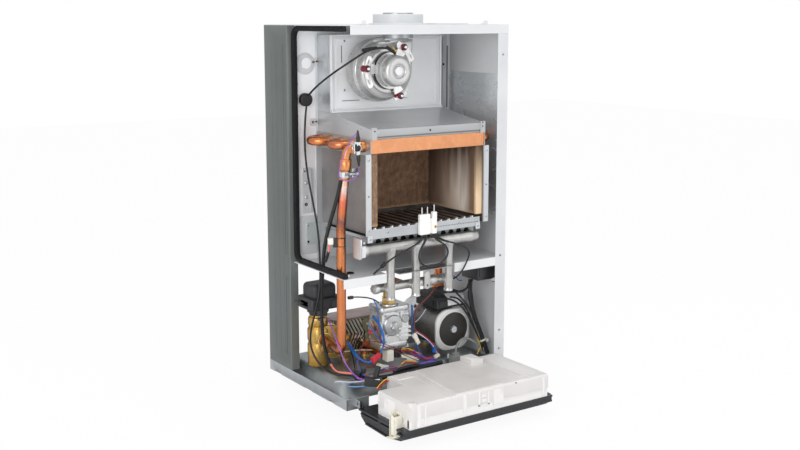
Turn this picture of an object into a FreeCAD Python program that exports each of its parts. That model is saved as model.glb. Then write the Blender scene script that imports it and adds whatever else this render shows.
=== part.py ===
import FreeCAD, Part
import math
import os
import re

import Sketcher
from FreeCAD import Rotation, Vector

# Wall-hung gas boiler, opened for service: front cover and left side panel off,
# control box folded down. Millimetres. X to the right seen from the front,
# Y back towards the wall, Z up. The origin is the bottom middle of the wall face.

SIZES = {
    # casing
    "case_width": 400, "case_height": 725, "case_depth": 292, "frame_depth": 312,
    "sheet": 1.5, "rail_height": 22, "column_width": 18, "column_depth": 97,
    "flange_width": 26, "lip_height": 18, "flange_hole": 2.5,
    "room_floor": 250, "room_left": 8, "floor_lip_left": 85, "floor_lip_right": 130,
    "floor_notch_depth": 24, "seal_width": 12, "seal_depth": 10, "grommet_radius": 13,
    "cable_hole": 14, "cable_hole_x": -171, "cable_hole_y": -175,
    "wall_hole_pitch": 240, "wall_hole_radius": 5, "wall_hole_height": 690,
    "hang_rail_height": 60, "hang_rail_thick": 2,
    "vessel_width": 290, "vessel_height": 400, "vessel_base": 285, "vessel_gap": 8,
    "vessel_corner": 45,
    # tray
    "plateau_height": 36, "plateau_front": 262, "plateau_rear": 14, "plateau_side": 186,
    "plateau_slope": 24, "tray_open_left": 150, "tray_open_right": 168, "tail_clearance": 1,
    # flue and fan
    "flue_y": 190, "flue_radius": 30, "flue_wall": 1.2, "flue_top": 752,
    "collar_radius": 50, "collar_wall": 2, "collar_height": 20, "collar_flange": 8,
    "fan_x": -40, "fan_z": 636, "fan_back": 158, "fan_depth": 54, "fan_radius": 62,
    "fan_wall": 2, "fan_inlet": 34, "duct_half": 28, "duct_top": 698,
    "wheel_radius": 50, "wheel_depth": 40, "blade_count": 12, "shaft_radius": 4,
    "running_fit": 0.06, "motor_radius": 30, "motor_front": 256, "bracket_y": 222,
    "bracket_reach": 55, "bracket_plate": 2, "grommet_size": 6,
    # flue gas box, hood and heat exchanger
    "hot_left": 133, "hot_right": 137, "plate_y": 150, "plate_base": 553, "plate_top": 705,
    "hood_front_top": 531, "hood_base": 512, "hot_front": 296,
    "block_base": 485, "tube_pitch": 39.5, "tube_radius": 9, "tube_first_y": 114,
    "tube_z": 498, "fin_pitch": 10, "fin_slot": 6, "fin_groove": 7,
    # combustion chamber and burner
    "chamber_base": 329, "chamber_back": 112, "insulation": 15, "chamber_flange": 12,
    "burner_left": 143, "burner_right": 127, "burner_base": 322, "burner_height": 19,
    "bar_count": 13, "bar_pitch": 19.4, "bar_width": 9, "bar_length": 156,
    "nozzle_plate_base": 300, "venturi_radius": 6.5,
    "rail_z": 301, "rail_y": 288, "rail_radius": 10.5, "rail_left": 150, "rail_right": 126,
    "riser_radius": 8.3, "riser_foot": 195, "cross_z": 217, "cross_y": 270,
    "cross_radius": 9, "cross_left": 112, "cross_right": 66,
    "gas_plate_left": 72, "gas_plate_right": 60, "gas_plate_front": 302,
    # water pipes
    "flow_x": -172, "flow_foot_y": -250, "flow_foot_z": 97, "pipe_bend": 19,
    "return_x": 158, "return_foot_z": 150,
    "socket_radius": 12, "socket_length": 34,
    # hydraulics
    "brass_x": -150, "brass_y": -140, "brass_base": 54, "brass_top": 146,
    "brass_radius": 22, "spindle_radius": 5, "spindle_travel": 8,
    "actuator_base": 150, "actuator_top": 212,
    "exchanger_left": 106, "exchanger_right": 44, "exchanger_front": 112,
    "exchanger_back": 50, "exchanger_base": 44, "exchanger_top": 116, "end_plate": 4,
    "valve_x": -42, "valve_y": -218, "valve_width": 70, "valve_depth": 54,
    "valve_base": 78, "valve_top": 166, "gas_nut": 15,
    "pump_x": 113, "pump_z": 91, "pump_front": 230, "pump_plate": 88, "pump_plate_thick": 5,
    "pump_radius": 43, "pump_split": 138, "pump_back": 92, "pump_volute": 46,
    "pump_wheel": 36, "pump_disc": 36, "vent_radius": 7,
    "tail_pitch": 58, "tail_y": -128, "tail_drop": 24,
    "heating_tail": 13.2, "water_tail": 10.5, "tail_bore": 7.5, "tail_shoulder": 1,
    "ignition_width": 54, "ignition_depth": 60, "ignition_height": 52,
    # control box
    "hinge_y": -318, "hinge_z": 12, "hinge_pin": 2.5, "hinge_fit": 0.06,
    "box_half": 175, "box_far": 472, "box_near": 322, "fascia_top": 4, "fascia_base": -26,
    "cover_half": 165, "cover_top": 50, "cover_near": 306, "cover_notch": 366,
    "cover_notch_x": -105, "knob_radius": 15, "knob_well": 17, "knob_y": -398,
    "knob_pitch": 58, "knob_depth": 12, "knob_proud": 3,
    # wiring
    "cable_radius": 2, "conduit_radius": 3.6, "lead_radius": 1.6,
}

doc = FreeCAD.newDocument("gas_boiler")
sheet = doc.addObject("Spreadsheet::Sheet", "sizes")
for row, (alias, value) in enumerate(SIZES.items(), start=1):
    sheet.set("A%d" % row, alias)
    sheet.set("B%d" % row, str(value))
    sheet.setAlias("B%d" % row, alias)
doc.recompute()

WORD = re.compile(r"[a-z][a-z_]*")
parts = []


def formula(text):
    """A formula in the sheet's own names."""
    return WORD.sub(lambda m: "sizes." + m.group() if m.group() in SIZES else m.group(), str(text))


def size(alias):
    return float(sheet.get(alias))


def bind(piece, **values):
    for name, text in values.items():
        piece.setExpression(name, formula(text))


def place(piece, x, y, z):
    for axis, text in zip("xyz", (x, y, z)):
        piece.setExpression("Placement.Base." + axis, formula(text))


def box(name, x, y, z, length, width, height):
    """A block from its lowest corner."""
    piece = doc.addObject("Part::Box", name)
    bind(piece, Length=length, Width=width, Height=height)
    place(piece, x, y, z)
    return piece


# a rod runs up, to the front or to the right from its start point
TURNS = {"up": Rotation(), "front": Rotation(Vector(1, 0, 0), 90), "right": Rotation(Vector(0, 1, 0), 90)}


def rod(name, way, x, y, z, radius, length, sides=16):
    """A round bar, drawn with flat sides where nothing turns in it or plugs into it."""
    piece = doc.addObject("Part::Prism", name)
    piece.Polygon = sides
    bind(piece, Circumradius=radius, Height=length)
    piece.Placement.Rotation = TURNS[way]
    place(piece, x, y, z)
    return piece


def cylinder(name, way, x, y, z, radius, length):
    """A true cylinder, for fits, bores and pipe ends."""
    piece = doc.addObject("Part::Cylinder", name)
    bind(piece, Radius=radius, Height=length)
    piece.Placement.Rotation = TURNS[way]
    place(piece, x, y, z)
    return piece


def join(name, pieces):
    piece = doc.addObject("Part::MultiFuse", name)
    piece.Shapes = pieces
    piece.Refine = True
    return piece


def group(name, pieces):
    piece = doc.addObject("Part::Compound", name)
    piece.Links = pieces
    return piece


def minus(name, base, tools):
    piece = doc.addObject("Part::Cut", name)
    piece.Base = base
    piece.Tool = tools[0] if len(tools) == 1 else group(name + "_tools", tools)
    piece.Refine = True
    return piece


def keep(piece, label):
    """Marks a finished sub-part and names its file."""
    piece.Label = label
    parts.append(piece)
    return piece


def new_body(name):
    return doc.addObject("PartDesign::Body", name)


def sketch(body, plane, offset="0"):
    """A sketch on one of the body's own planes: XY looks up, XZ to the front, YZ to the right."""
    base = [p for p in body.Origin.OriginFeatures if p.Role == plane + "_Plane"][0]
    drawing = body.newObject("Sketcher::SketchObject", body.Name + "_sketch")
    drawing.AttachmentSupport = [(base, "")]
    drawing.MapMode = "FlatFace"
    drawing.setExpression("AttachmentOffset.Base.z", formula(offset))
    return drawing


def fix(drawing, kind, geometry, point, text):
    index = drawing.addConstraint(Sketcher.Constraint(kind, -1, 1, geometry, point, 1.0 + geometry))
    drawing.setExpression("Constraints[%d]" % index, formula(text))


def polygon(drawing, corners):
    """A closed outline through corners given as pairs of formulas."""
    count = len(corners)
    first = drawing.GeometryCount
    spots = [Vector(math.cos(2 * math.pi * k / count), math.sin(2 * math.pi * k / count), 0) for k in range(count)]
    for k in range(count):
        drawing.addGeometry(Part.LineSegment(spots[k], spots[(k + 1) % count]))
    for k in range(count):
        drawing.addConstraint(Sketcher.Constraint("Coincident", first + k, 2, first + (k + 1) % count, 1))
    for k, (across, along) in enumerate(corners):
        fix(drawing, "DistanceX", first + k, 1, across)
        fix(drawing, "DistanceY", first + k, 1, along)
    return drawing


def rectangle(drawing, left, low, right, high):
    return polygon(drawing, [(left, low), (right, low), (right, high), (left, high)])


def circle(drawing, across, along, radius):
    index = drawing.addGeometry(Part.Circle(Vector(1, 1, 0), Vector(0, 0, 1), 1.0))
    fix(drawing, "DistanceX", index, 3, across)
    fix(drawing, "DistanceY", index, 3, along)
    size_index = drawing.addConstraint(Sketcher.Constraint("Radius", index, 1.0))
    drawing.setExpression("Constraints[%d]" % size_index, formula(radius))
    return drawing


def disc(drawing, across, along, radius, sides=12):
    """A round outline with flat sides."""
    corners = [("%s + (%s) * %.6f" % (across, radius, math.cos(2 * math.pi * k / sides)),
                "%s + (%s) * %.6f" % (along, radius, math.sin(2 * math.pi * k / sides)))
               for k in range(sides)]
    return polygon(drawing, corners)


def pad(body, drawing, length):
    feature = body.newObject("PartDesign::Pad", body.Name + "_pad")
    feature.Profile = drawing
    bind(feature, Length=length)
    return feature


def pierce(body, drawing):
    """A pocket that goes right through both ways."""
    feature = body.newObject("PartDesign::Pocket", body.Name + "_hole")
    feature.Profile = drawing
    feature.Type = "ThroughAll"
    feature.Midplane = True
    return feature


def recess(body, drawing, depth, reverse=False):
    """A pocket that sinks from the sketch against its normal, or along it."""
    feature = body.newObject("PartDesign::Pocket", body.Name + "_pocket")
    feature.Profile = drawing
    feature.Reversed = reverse
    bind(feature, Length=depth)
    return feature


def row(body, feature, plane_axis, length, count):
    """Copies of a feature in a straight line."""
    pattern = body.newObject("PartDesign::LinearPattern", body.Name + "_row")
    pattern.Originals = [feature]
    axis = [p for p in body.Origin.OriginFeatures if p.Role == plane_axis + "_Axis"][0]
    pattern.Direction = (axis, [""])
    pattern.setExpression("Length", formula(length))
    pattern.setExpression("Occurrences", formula(count))
    body.Tip = pattern
    return pattern


def rounded(route, bend=None, turns=4):
    """The route with its corners cut into short mitred pieces round a bend.

    Without a bend radius each bend is as wide as its two runs allow.
    """
    spots = [route[0]]
    for before, corner, after in zip(route, route[1:], route[2:]):
        back = before - corner
        ahead = after - corner
        shorter = min(back.Length, ahead.Length)
        back.normalize()
        ahead.normalize()
        turn = math.pi - back.getAngle(ahead)
        reach = bend * math.tan(turn / 2) if bend else 0.45 * shorter
        radius = reach / math.tan(turn / 2)
        centre = corner + (back + ahead).normalize() * (radius / math.cos(turn / 2))
        start = corner + back * reach - centre
        axis = start.cross(corner + ahead * reach - centre)
        for k in range(turns + 1):
            spots.append(centre + Rotation(axis, math.degrees(turn * k / turns)).multVec(start))
    spots.append(route[-1])
    return spots


def mitred(spots, radius, sides=12):
    """A pipe through the given spots with mitred corners."""
    path = Part.makePolygon(spots)
    ring = Part.makeCircle(radius, spots[0], (spots[1] - spots[0]).normalize())
    marks = [ring.valueAt(2 * math.pi * k / sides) for k in range(sides)]
    section = Part.makePolygon(marks + [marks[0]])
    return path.makePipeShell([section], True, False, 1)


def pipe(route, radius, bend):
    return mitred(rounded(route, bend), radius)


def cable(points, radius, sides=5):
    """A lead through hand-placed points, in short straight pieces."""
    return mitred(rounded([Vector(*point) for point in points], turns=1), radius, sides)


def feature(label, shape):
    piece = doc.addObject("Part::Feature", label)
    piece.Shape = shape
    return keep(piece, label)


# casing

def rear_column():
    body = new_body("rear_column")
    left = "-case_width / 2"
    corners = [(left, "0"), (left + " + column_width", "0"), (left + " + column_width", "-sheet"),
               (left + " + sheet", "-sheet"), (left + " + sheet", "sheet - column_depth"),
               (left + " + column_width", "sheet - column_depth"),
               (left + " + column_width", "-column_depth"), (left, "-column_depth")]
    pad(body, polygon(sketch(body, "XY", "rail_height"), corners), "case_height - sheet - rail_height")
    for low, high in (("rail_height + 30", "room_floor - 34"), ("room_floor + 14", "case_height - 40")):
        groove = rectangle(sketch(body, "YZ", left), "12 - column_depth", low, "20 - column_depth", high)
        recess(body, groove, "sheet / 2", True)
    keep(body, "rear_column")


def top_panel():
    body = new_body("top_panel")
    flat = rectangle(sketch(body, "XY", "case_height - sheet"),
                     "-case_width / 2", "-case_depth", "case_width / 2", "0")
    pad(body, flat, "sheet")
    lip = rectangle(sketch(body, "XZ", "case_depth - sheet"), "flange_width - case_width / 2",
                    "case_height - lip_height", "case_width / 2", "case_height - sheet")
    pad(body, lip, "sheet")
    pierce(body, disc(sketch(body, "XY", "case_height"), "0", "-flue_y", "collar_radius - collar_wall", 24))
    keep(body, "top_panel")


def right_side_panel():
    body = new_body("right_side_panel")
    web = rectangle(sketch(body, "XY", "rail_height"),
                    "case_width / 2 - sheet", "-case_depth", "case_width / 2", "0")
    pad(body, web, "case_height - sheet - rail_height - (lip_height - sheet)")
    upper = rectangle(sketch(body, "XY", "case_height - lip_height"),
                      "case_width / 2 - sheet", "sheet - case_depth", "case_width / 2", "0")
    pad(body, upper, "lip_height - sheet")
    flange = rectangle(sketch(body, "XZ", "case_depth - sheet"), "case_width / 2 - flange_width",
                       "rail_height", "case_width / 2 - sheet", "case_height - lip_height")
    pad(body, flange, "sheet")
    holes = sketch(body, "XZ", "case_depth")
    for height in ("rail_height + 30", "rail_height + 70", "room_floor + 2", "case_height - 60"):
        disc(holes, "case_width / 2 - flange_width / 2", height, "flange_hole", 8)
    pierce(body, holes)
    keep(body, "right_side_panel")


def back_wall():
    body = new_body("back_wall")
    wall = rectangle(sketch(body, "XZ", "column_depth - sheet"), "column_width - case_width / 2",
                     "room_floor", "case_width / 2 - sheet", "case_height - sheet")
    pad(body, wall, "sheet")
    boss = disc(sketch(body, "XZ", "column_depth"), "-158", "case_height - 76", "11")
    pad(body, boss, "3")
    keep(body, "back_wall")


def hanging_rail():
    body = new_body("hanging_rail")
    low = "case_height - sheet - hang_rail_height"
    plate = rectangle(sketch(body, "XZ", "0"), "column_width - case_width / 2", low,
                      "case_width / 2 - sheet", "case_height - sheet")
    pad(body, plate, "hang_rail_thick")
    holes = sketch(body, "XZ", "0")
    circle(holes, "-wall_hole_pitch / 2", "wall_hole_height", "wall_hole_radius")
    circle(holes, "wall_hole_pitch / 2", "wall_hole_height", "wall_hole_radius")
    pierce(body, holes)
    keep(body, "hanging_rail")


def expansion_vessel():
    body = new_body("expansion_vessel")
    half = "vessel_width / 2"
    low = "vessel_base"
    high = "vessel_base + vessel_height"
    cut = "vessel_corner"
    corners = [("-%s + %s" % (half, cut), low), ("%s - %s" % (half, cut), low),
               (half, "%s + %s" % (low, cut)), (half, "%s - %s" % (high, cut)),
               ("%s - %s" % (half, cut), high), ("-%s + %s" % (half, cut), high),
               ("-" + half, "%s - %s" % (high, cut)), ("-" + half, "%s + %s" % (low, cut))]
    shell = pad(body, polygon(sketch(body, "XZ", "vessel_gap"), corners), "column_depth - sheet - vessel_gap")
    doc.recompute()
    rims = ["Edge%d" % (n + 1) for n, edge in enumerate(shell.Shape.Edges)
            if edge.BoundBox.YLength < 1e-6]
    soft = body.newObject("PartDesign::Chamfer", "vessel_rims")
    soft.Base = (shell, rims)
    bind(soft, Size="vessel_corner / 4")
    keep(body, "expansion_vessel")


def chamber_floor():
    body = new_body("chamber_floor")
    left = "room_left - case_width / 2"
    right = "case_width / 2 - sheet"
    notch_left = left + " + floor_lip_left + 12"
    notch_right = right + " - floor_lip_right"
    front = "sheet - case_depth"
    column_edge = "column_width - case_width / 2"
    corners = [(left, "-column_depth"), (left, front), (notch_left, front),
               (notch_left, front + " + floor_notch_depth"), (notch_right, front + " + floor_notch_depth"),
               (notch_right, front), (right, front), (right, "sheet - column_depth"),
               (column_edge, "sheet - column_depth"), (column_edge, "-column_depth")]
    pad(body, polygon(sketch(body, "XY", "room_floor - sheet"), corners), "sheet")
    lips = sketch(body, "XZ", "case_depth - sheet")
    rectangle(lips, left, "room_floor - lip_height", notch_left, "room_floor")
    rectangle(lips, notch_right, "room_floor - lip_height", "case_width / 2 - flange_width", "room_floor")
    pad(body, lips, "sheet")
    pipes = sketch(body, "XY", "room_floor")
    disc(pipes, "flow_x - 0.6", FLOW_AT_FLOOR, "grommet_radius")
    disc(pipes, "return_x", "-tube_first_y", "grommet_radius")
    disc(pipes, "cable_hole_x", "cable_hole_y", "cable_hole")
    pierce(body, pipes)
    keep(body, "chamber_floor")


# the flow pipe leans back a little from the exchanger to the valve block
FLOW_TOP_Y = "(-tube_first_y - 4 * tube_pitch)"
FLOW_AT_FLOOR = FLOW_TOP_Y + " + (flow_foot_y - %s) * (tube_z - room_floor) / (tube_z - flow_foot_z)" % FLOW_TOP_Y


def gas_plate():
    body = new_body("gas_plate")
    flat = rectangle(sketch(body, "XY", "room_floor - 2 * sheet"), "-gas_plate_left", "-gas_plate_front",
                     "gas_plate_right", "floor_notch_depth + 10 - case_depth")
    pad(body, flat, "sheet")
    holes = sketch(body, "XY", "room_floor")
    for name in ("middle", "right"):
        disc(holes, RISERS[name], "-rail_y", "riser_radius + 0.8", 12)
    pierce(body, holes)
    keep(body, "gas_plate")


def chamber_seal():
    body = new_body("chamber_seal")
    back = "-column_depth"
    front = "4 - case_depth"
    low = "room_floor"
    high = "case_height - sheet"
    corners = [(front, low), (back, low), (back, high), (front, high),
               (front, high + " - seal_width"), (back + " - seal_width", high + " - seal_width"),
               (back + " - seal_width", low + " + seal_width"), (front, low + " + seal_width")]
    pad(body, polygon(sketch(body, "YZ", "room_left - case_width / 2"), corners), "seal_depth")
    keep(body, "chamber_seal")


def bottom_tray():
    half = "case_width / 2"
    outer = box("tray_outer", "-" + half, "-frame_depth", "0", "case_width", "frame_depth", "rail_height")
    inner = box("tray_inner", "sheet - " + half, "sheet - frame_depth", "sheet",
                "case_width - 2 * sheet", "frame_depth - 2 * sheet", "rail_height")
    mouth = box("tray_mouth", "-tray_open_left", "-frame_depth - 1", "-1",
                "tray_open_left + tray_open_right", "frame_depth - plateau_front - 4 + 1", "rail_height + 2")
    well = plateau("plateau_well", "sheet")
    rise = plateau("plateau_rise", "0")
    frame = minus("tray_frame", outer, [inner, mouth])
    tray = join("tray_pressed", [frame, rise])
    holes = [rod("tail_hole_%d" % n, "up", x, "tail_y", "-1", radius + " + tail_shoulder + tail_clearance",
                 "plateau_height + 2", 12) for n, (x, radius) in enumerate(TAILS)]
    ears = []
    for side in ("left", "right"):
        ear_x = "-box_half - 4.5" if side == "left" else "box_half + 2.5"
        pin_x = "-box_half - 4.5" if side == "left" else "box_half - 4"
        ears.append(box("ear_" + side, ear_x, "hinge_y - 6", "hinge_z - 7", "2",
                        "-hinge_y + 6 - frame_depth + sheet", "14"))
        ears.append(rod("pin_" + side, "right", pin_x, "hinge_y", "hinge_z", "hinge_pin", "8.5"))
    open_tray = minus("tray_open", tray, [well] + holes)
    keep(join("tray", [open_tray] + ears), "bottom_tray")


def plateau(name, inset):
    """The raised middle of the tray, as a wedge that narrows upwards."""
    wedge = doc.addObject("Part::Wedge", name)
    bind(wedge, Xmin="%s - plateau_side" % inset, Xmax="plateau_side - %s" % inset,
         Ymin="-%s" % inset if inset != "0" else "0", Ymax="plateau_height - %s" % inset,
         Zmin="plateau_rear + %s" % inset, Zmax="plateau_front - %s" % inset,
         X2min="plateau_slope - plateau_side + %s" % inset, X2max="plateau_side - plateau_slope - %s" % inset,
         Z2min="plateau_rear + plateau_slope + %s" % inset, Z2max="plateau_front - plateau_slope - %s" % inset)
    wedge.Placement.Rotation = Rotation(Vector(1, 0, 0), 90)
    return wedge


# the five pipe tails from the left: heating flow, hot water, gas, cold water, heating return
TAILS = [("brass_x", "heating_tail"), ("brass_x + tail_pitch", "water_tail"), ("valve_x", "water_tail"),
         ("pump_x - tail_pitch", "water_tail"), ("pump_x", "heating_tail")]
RISERS = {"left": "-84", "middle": "-24", "right": "56"}


def pipe_tails():
    tails = []
    for n, (x, radius) in enumerate(TAILS):
        stub = cylinder("tail_stub_%d" % n, "up", x, "tail_y", "-tail_drop", radius, "tail_drop")
        stem = rod("tail_stem_%d" % n, "up", x, "tail_y", "0", radius + " + tail_shoulder", "plateau_height + 4", 8)
        bore = rod("tail_bore_%d" % n, "up", x, "tail_y", "-tail_drop - 1", "tail_bore", "tail_drop + 1", 8)
        tails.append(minus("tail_%d" % n, join("tail_solid_%d" % n, [stub, stem]), [bore]))
    keep(group("tails", tails), "pipe_tails")


# flue and fan

def flue_pieces():
    tube = rod("flue_outer", "up", "0", "-flue_y", "duct_top", "flue_radius", "flue_top - duct_top", 24)
    bore = cylinder("flue_bore", "up", "0", "-flue_y", "duct_top - 1", "flue_radius - flue_wall", "flue_top - duct_top + 2")
    keep(minus("flue_tube", tube, [bore]), "flue_pipe")
    ring = rod("collar_ring", "up", "0", "-flue_y", "case_height", "collar_radius + collar_flange", "2", 24)
    wall = cylinder("collar_outer", "up", "0", "-flue_y", "case_height", "collar_radius", "collar_height")
    hole = rod("collar_bore", "up", "0", "-flue_y", "case_height - 1", "collar_radius - collar_wall", "collar_height + 2", 24)
    keep(minus("collar", join("collar_solid", [ring, wall]), [hole]), "flue_collar")


def fan_volute():
    back = "-fan_back"
    drum = rod("volute_drum", "front", "fan_x", back, "fan_z", "fan_radius", "fan_depth", 24)
    duct = box("volute_duct", "-duct_half", "-fan_back - fan_depth", "fan_z", "2 * duct_half", "fan_depth",
               "duct_top - fan_z")
    step = rod("volute_step", "front", "fan_x", "-fan_back - fan_depth", "fan_z", "fan_radius * 0.72", "4", 24)
    spigot = rod("volute_spigot", "front", "fan_x", "-plate_y", "fan_z", "fan_inlet + fan_wall", "fan_back - plate_y", 24)
    solid = join("volute_solid", [drum, duct, step, spigot])
    room = rod("volute_room", "front", "fan_x", "-fan_back - fan_wall", "fan_z", "fan_radius - fan_wall",
               "fan_depth - 2 * fan_wall", 24)
    way = box("volute_way", "fan_wall - duct_half", "-fan_back - fan_depth + fan_wall", "fan_z",
              "2 * (duct_half - fan_wall)", "fan_depth - 2 * fan_wall", "duct_top - fan_z + 1")
    mouth = rod("volute_mouth", "front", "fan_x", "1 - plate_y", "fan_z", "fan_inlet", "fan_back - plate_y + fan_wall + 2", 24)
    eye = rod("volute_eye", "front", "fan_x", "-fan_back - fan_depth + fan_wall + 1", "fan_z", "shaft_radius + 2",
              "fan_wall + 8")
    keep(minus("volute", solid, [room, way, mouth, eye]), "fan_volute")


def fan_impeller():
    back = "-fan_back - fan_wall - 4"
    hub_y = "-fan_back - fan_wall - 4 - wheel_depth"
    plate = rod("wheel_plate", "front", "fan_x", hub_y + " + 2", "fan_z", "wheel_radius", "2", 24)
    shaft = rod("wheel_shaft", "front", "fan_x", hub_y + " + 12", "fan_z", "shaft_radius",
                "motor_front - 8 + (%s) + 12" % hub_y)
    blades = []
    for n in range(int(size("blade_count"))):
        turn = 360.0 * n / size("blade_count")
        blade = box("wheel_blade_%d" % n, "wheel_radius - 12", "-1", "0", "12", "1.6", "wheel_depth - 1")
        holder = doc.addObject("Part::Compound", "wheel_blade_set_%d" % n)
        holder.Links = [blade]
        holder.Placement.Rotation = Rotation(Vector(0, -1, 0), turn) * Rotation(Vector(1, 0, 0), 90)
        place(holder, "fan_x", back, "fan_z")
        blades.append(holder)
    keep(join("wheel", [plate, shaft] + blades), "fan_impeller")


def fan_motor():
    base = "-bracket_y - bracket_plate"
    can = rod("motor_can", "front", "fan_x", base, "fan_z", "motor_radius", "motor_front - bracket_y - bracket_plate", 24)
    collar = rod("motor_neck", "front", "fan_x", "-fan_back - fan_depth - 4.3", "fan_z", "motor_radius * 0.6",
                 "bracket_y + bracket_plate - fan_back - fan_depth - 4.3")
    hole = cylinder("motor_hole", "front", "fan_x", "-fan_back - fan_depth", "fan_z", "shaft_radius + running_fit",
               "motor_front - 7 - fan_back - fan_depth")
    dish = rod("motor_dish", "front", "fan_x", "4 - motor_front", "fan_z", "motor_radius * 0.55", "5")
    keep(minus("motor", join("motor_solid", [can, collar]), [hole, dish]), "fan_motor")


def fan_bracket():
    ring = rod("bracket_ring", "front", "fan_x", "-bracket_y", "fan_z", "motor_radius + 5", "bracket_plate")
    arms = []
    posts = []
    for n, turn in enumerate((55, 175, 295)):
        reach = math.radians(turn)
        arm = box("bracket_arm_%d" % n, "0", "-7", "0", "bracket_reach + 6", "14", "bracket_plate")
        holder = group("bracket_arm_set_%d" % n, [arm])
        holder.Placement.Rotation = Rotation(Vector(0, -1, 0), turn) * Rotation(Vector(1, 0, 0), 90)
        place(holder, "fan_x", "-bracket_y", "fan_z")
        arms.append(holder)
        posts.append(rod("grommet_%d" % n, "front", "fan_x + bracket_reach * %.6f" % math.cos(reach),
                         "-fan_back - fan_depth", "fan_z + bracket_reach * %.6f" % math.sin(reach),
                         "grommet_size", "bracket_y - fan_back - fan_depth", 12))
    hole = rod("bracket_hole", "front", "fan_x", "1 - bracket_y", "fan_z", "motor_radius * 0.6 + 0.3",
               "bracket_plate + 2")
    keep(minus("bracket", join("bracket_solid", [ring] + arms), [hole]), "fan_bracket")
    keep(group("grommets", posts), "fan_grommets")


def top_fittings():
    hooks = []
    for n, x in enumerate(("-147.5", "138.5")):
        foot = box("hook_foot_%d" % n, x, "2 - case_depth", "case_height", "9", "12", "2")
        stand = box("hook_stand_%d" % n, x, "2 - case_depth", "case_height", "9", "2", "8")
        hooks.append(join("hook_%d" % n, [foot, stand]))
    keep(group("hooks", hooks), "cover_hooks")
    lid = new_body("air_inlet_cover")
    flat = rectangle(sketch(lid, "XY", "case_height"), "88", "-flue_y - 10", "168", "80 - flue_y - 10")
    pad(lid, flat, "2")
    keep(lid, "air_inlet_cover")


def hot_box():
    body = new_body("rear_box")
    outer = rectangle(sketch(body, "XZ", "column_depth"), "-hot_left", "plate_base", "hot_right", "plate_top")
    pad(body, outer, "plate_y - sheet - column_depth")
    inner = rectangle(sketch(body, "XZ", "plate_y"), "sheet - hot_left", "plate_base - 1",
                      "hot_right - sheet", "plate_top - sheet")
    recess(body, inner, "plate_y - column_depth - sheet")
    keep(body, "rear_box")

    front = new_body("fan_plate")
    plate = rectangle(sketch(front, "XZ", "plate_y - sheet"), "-hot_left", "plate_base", "hot_right", "plate_top")
    pad(front, plate, "sheet")
    rim = sketch(front, "XZ", "plate_y")
    rectangle(rim, "12 - hot_left", "plate_base + 8", "hot_right - 12", "plate_top - 8")
    rectangle(rim, "16 - hot_left", "plate_base + 12", "hot_right - 16", "plate_top - 12")
    pad(front, rim, "1.2")
    pierce(front, disc(sketch(front, "XZ", "plate_y"), "fan_x", "fan_z", "fan_inlet", 24))
    keep(front, "fan_plate")


def hood():
    body = new_body("hood")
    outer = [("-column_depth", "hood_base"), ("-hot_front", "hood_base"), ("-hot_front", "hood_front_top"),
             ("-plate_y", "plate_base"), ("-column_depth", "plate_base")]
    pad(body, polygon(sketch(body, "YZ", "-hot_left"), outer), "hot_left + hot_right")
    inner = [("-column_depth - sheet", "hood_base - 1"), ("sheet - hot_front", "hood_base - 1"),
             ("sheet - hot_front", "hood_front_top - sheet"), ("-plate_y", "plate_base - sheet"),
             ("-column_depth - sheet", "plate_base - sheet")]
    recess(body, polygon(sketch(body, "YZ", "sheet - hot_left"), inner), "hot_left + hot_right - 2 * sheet", True)
    throat = rectangle(sketch(body, "XY", "plate_base"), "20 - hot_left", "8 - plate_y",
                       "hot_right - 20", "-column_depth - 8")
    recess(body, throat, "2 * sheet")
    keep(body, "hood")


def heat_exchanger():
    body = new_body("hx_jacket")
    outer = rectangle(sketch(body, "XY", "block_base"), "-hot_left", "-hot_front", "hot_right", "-column_depth")
    pad(body, outer, "hood_base - block_base")
    inner = rectangle(sketch(body, "XY", "hood_base"), "sheet - hot_left", "sheet - hot_front",
                      "hot_right - sheet", "-column_depth - sheet")
    recess(body, inner, "hood_base - block_base")
    keep(body, "hx_jacket")

    core = new_body("hx_core")
    block = rectangle(sketch(core, "XY", "block_base"), "sheet - hot_left", "sheet - hot_front",
                      "hot_right - sheet", "-column_depth - sheet")
    pad(core, block, "hood_base - block_base")
    groove = rectangle(sketch(core, "XZ", "column_depth"), "6 - hot_left", "block_base",
                       "6 - hot_left + fin_slot", "block_base + fin_groove")
    slot = recess(core, groove, "hot_front - column_depth", True)
    row(core, slot, "X", "fin_pitch * 25", "26")
    keep(core, "hx_core")


def hx_bends():
    """Return bends between neighbouring tubes, by turns at the left and the right end."""
    pitch = size("tube_pitch")
    height = size("tube_z")
    stub = 14
    turns = 5
    bends = []
    for n in range(4):
        near = -size("tube_first_y") - n * pitch
        out = -1 if n % 2 == 0 else 1
        x = -size("hot_left") if out < 0 else size("hot_right")
        spots = [Vector(x, near, height)]
        for k in range(turns + 1):
            swing = math.pi * k / turns
            spots.append(Vector(x + out * (stub + pitch / 2 * math.sin(swing)),
                                near - pitch / 2 * (1 - math.cos(swing)), height))
        spots.append(Vector(x, near - pitch, height))
        bends.append(mitred(spots, size("tube_radius"), 8))
    feature("hx_bends", Part.makeCompound(bends))


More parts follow.
